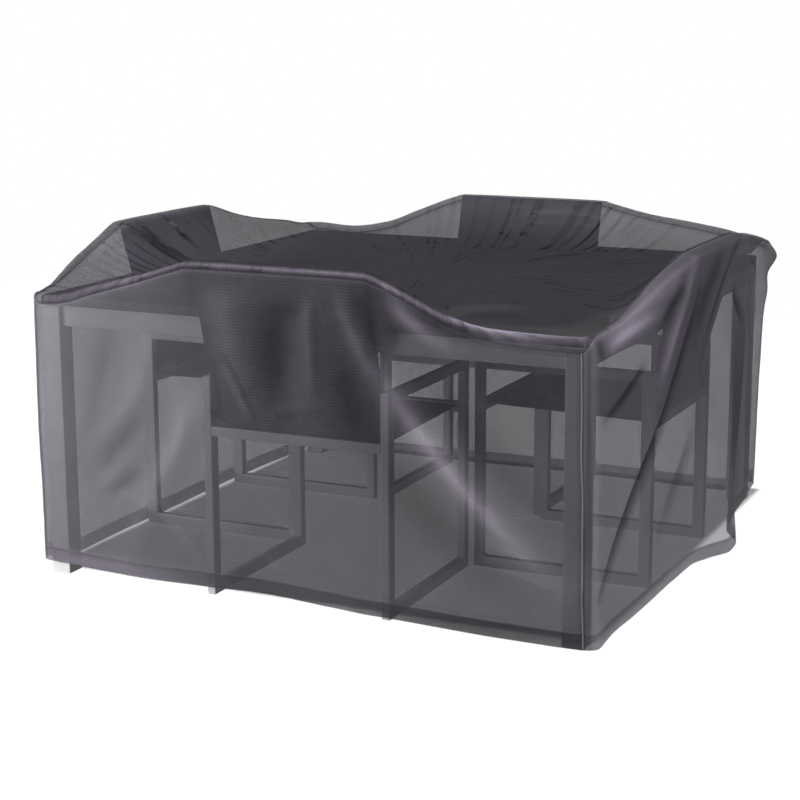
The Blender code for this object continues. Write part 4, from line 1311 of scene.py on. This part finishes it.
# ---------------------------------------------------------------- the studio
def build_floor():
    """A wide pale floor that the legs stand on."""
    material, tree, shader = look("studio_floor")
    place = node(tree, "TexCoord").outputs["Object"]
    cloud = mottle(tree, place, 1.5, 2.0)
    tree.links.new(blend(tree, cloud, (0.86, 0.86, 0.86), (0.90, 0.90, 0.90)),
                   shader.inputs["Base Color"])
    shader.inputs["Roughness"].default_value = 0.9
    shader.inputs["Specular IOR Level"].default_value = 0.1
    body = bmesh.new()
    bmesh.ops.create_grid(body, x_segments=8, y_segments=8, size=FLOOR_REACH)
    bmesh.ops.translate(body, vec=(0, 0, FLOOR_DROP), verts=body.verts)
    mesh = bpy.data.meshes.new("studio_floor")
    body.to_mesh(mesh)
    body.free()
    mesh.materials.append(material)
    floor = bpy.data.objects.new("studio_floor", mesh)
    bpy.context.scene.collection.objects.link(floor)
    floor.visible_diffuse = False
    floor.visible_glossy = False
    return floor


def lamp(name, kind, power, place=(0, 0, 3), turn=(0, 0, 0)):
    """A lamp of a kind, with its light's settings still to be made."""
    light = bpy.data.lights.new(name, kind)
    light.energy = power
    item = bpy.data.objects.new(name, light)
    item.location = place
    item.rotation_euler = [math.radians(angle) for angle in turn]
    bpy.context.scene.collection.objects.link(item)
    return item, light


def group(name, *members):
    """A collection of pieces that a light is linked to."""
    made = bpy.data.collections.new(name)
    for member in members:
        made.objects.link(member)
    return made


def all_but(name, *members):
    """A collection that keeps a light off some pieces."""
    made = group(name, *members)
    for member in made.collection_objects:
        member.light_linking.link_state = "EXCLUDE"
    return made


def build_lights(floor, top, right_side):
    """A broad soft light from above, a soft box low at the left front that leaves the top of
    the cover alone, and a rim light on its right side. The floor has two lamps of its own: one
    from above, for which only the table throws a shadow, and a weak one without a shadow."""
    all_but_floor = all_but("all but the floor", floor)
    hanging = all_but("all but the floor and the top", floor, top)
    sky, light = lamp("broad_sky_light", "SUN", SKY_POWER, turn=SKY_TURN)
    light.angle = math.radians(SKY_ANGLE)
    box, light = lamp("left_front_soft_box", "AREA", KEY_POWER, KEY_PLACE)
    light.shape = "SQUARE"
    light.size = KEY_SIZE
    aim = Vector(KEY_AIM) - Vector(KEY_PLACE)
    box.rotation_euler = aim.to_track_quat("-Z", "Y").to_euler()
    sky.light_linking.receiver_collection = all_but_floor
    box.light_linking.receiver_collection = hanging
    floor_only = group("floor only", floor)
    table_only = group("table only", bpy.data.objects["table_top"])
    item, light = lamp("floor_lamp", "POINT", FLOOR_POWER, FLOOR_PLACE)
    light.shadow_soft_size = FLOOR_LAMP_RADIUS
    item.light_linking.receiver_collection = floor_only
    item.light_linking.blocker_collection = table_only
    item, _ = lamp("floor_fill", "SUN", FLOOR_FILL_POWER)
    item.light_linking.receiver_collection = floor_only
    item.light_linking.blocker_collection = floor_only
    item, light = lamp("right_rim_light", "SUN", RIM_POWER, turn=RIM_TURN)
    light.angle = math.radians(RIM_ANGLE)
    item.light_linking.receiver_collection = right_side


def build_surround():
    """A dim surround, which the camera sees as a white backdrop."""
    world = bpy.data.worlds.new("surround")
    world.use_nodes = True
    tree = world.node_tree
    dim = tree.nodes["Background"]
    dim.inputs["Color"].default_value = (1.0, 1.0, 1.0, 1.0)
    dim.inputs["Strength"].default_value = SURROUND
    white = node(tree, "Background", {"Color": (1.0, 1.0, 1.0, 1.0), "Strength": 1.0})
    path = node(tree, "LightPath")
    mix = node(tree, "MixShader", {0: path.outputs["Is Camera Ray"]})
    tree.links.new(dim.outputs[0], mix.inputs[1])
    tree.links.new(white.outputs[0], mix.inputs[2])
    tree.links.new(mix.outputs[0], tree.nodes["World Output"].inputs["Surface"])
    bpy.context.scene.world = world


def build_studio(top, right_side):
    """The floor, the surround, the lights and the photograph's camera."""
    scene = bpy.context.scene
    build_lights(build_floor(), top, right_side)
    build_surround()
    lens = bpy.data.cameras.new("photo_camera")
    lens.sensor_width = 36.0
    lens.lens = CAMERA_LENS
    lens.shift_x, lens.shift_y = CAMERA_SHIFT
    camera = bpy.data.objects.new("photo_camera", lens)
    camera.location = CAMERA_PLACE
    camera.rotation_euler = [math.radians(angle) for angle in CAMERA_TURN]
    scene.collection.objects.link(camera)
    scene.camera = camera
    scene.view_settings.view_transform = "Standard"
    scene.cycles.transparent_max_bounces = 32


# ---------------------------------------------------------------- putting it together
def build_cover():
    """The five panels, their piping and their stitches, in the row frame. Gives the top panel,
    and the pieces of the right side."""
    rows, seams = all_stations()
    cloth = sheer_cloth_look()
    binding = seam_look("seam_binding", (0.085, 0.083, 0.090), (0.18, 0.176, 0.19))
    thread = seam_look("charcoal_thread", (0.05, 0.05, 0.055), (0.15, 0.15, 0.16))
    top, top_grid, top_normal = build_top(rows, cloth)
    on_top = [
        piping("top_seam_piping", top_grid[:, 0], top_normal[:, 0], True, binding),
        stitches("top_seam_stitches", top_grid[:, 2], top_normal[:, 2], True, thread),
    ]
    panels, trims = {"top": top}, {"top": on_top}
    for index, side in enumerate(SIDES):
        start = seams[index - 1] - (len(rows) if index == 0 else 0)
        panel, grid, normal = build_side(side, start, seams[index], rows, cloth)
        stitched, out = grid[:, HEM_STITCH_LINE], normal[:, HEM_STITCH_LINE]
        panels[side] = panel
        trims[side] = [
            piping(
                f"{side}_upright_piping", grid[-1], normal[-1], False, binding,
                UPRIGHT_PIPING_WIDTH, UPRIGHT_WANDER,
            ),
            stitches(f"{side}_hem_stitches", stitched, out, False, thread),
            stitches(f"{side}_seam_stitches", grid[:, 2], normal[:, 2], False, thread),
        ]
    shift = Matrix.Translation((TABLE_MIDDLE.x, TABLE_MIDDLE.y, 0))
    for name, panel in panels.items():
        for piece in [panel] + trims[name]:
            piece.data.transform(shift)
            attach(piece, "root")
        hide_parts(f"cover_{name}_panel")
    return top, group("right side of the cover", panels["right"], *trims["right"])


finish_furniture()
build_studio(*build_cover())
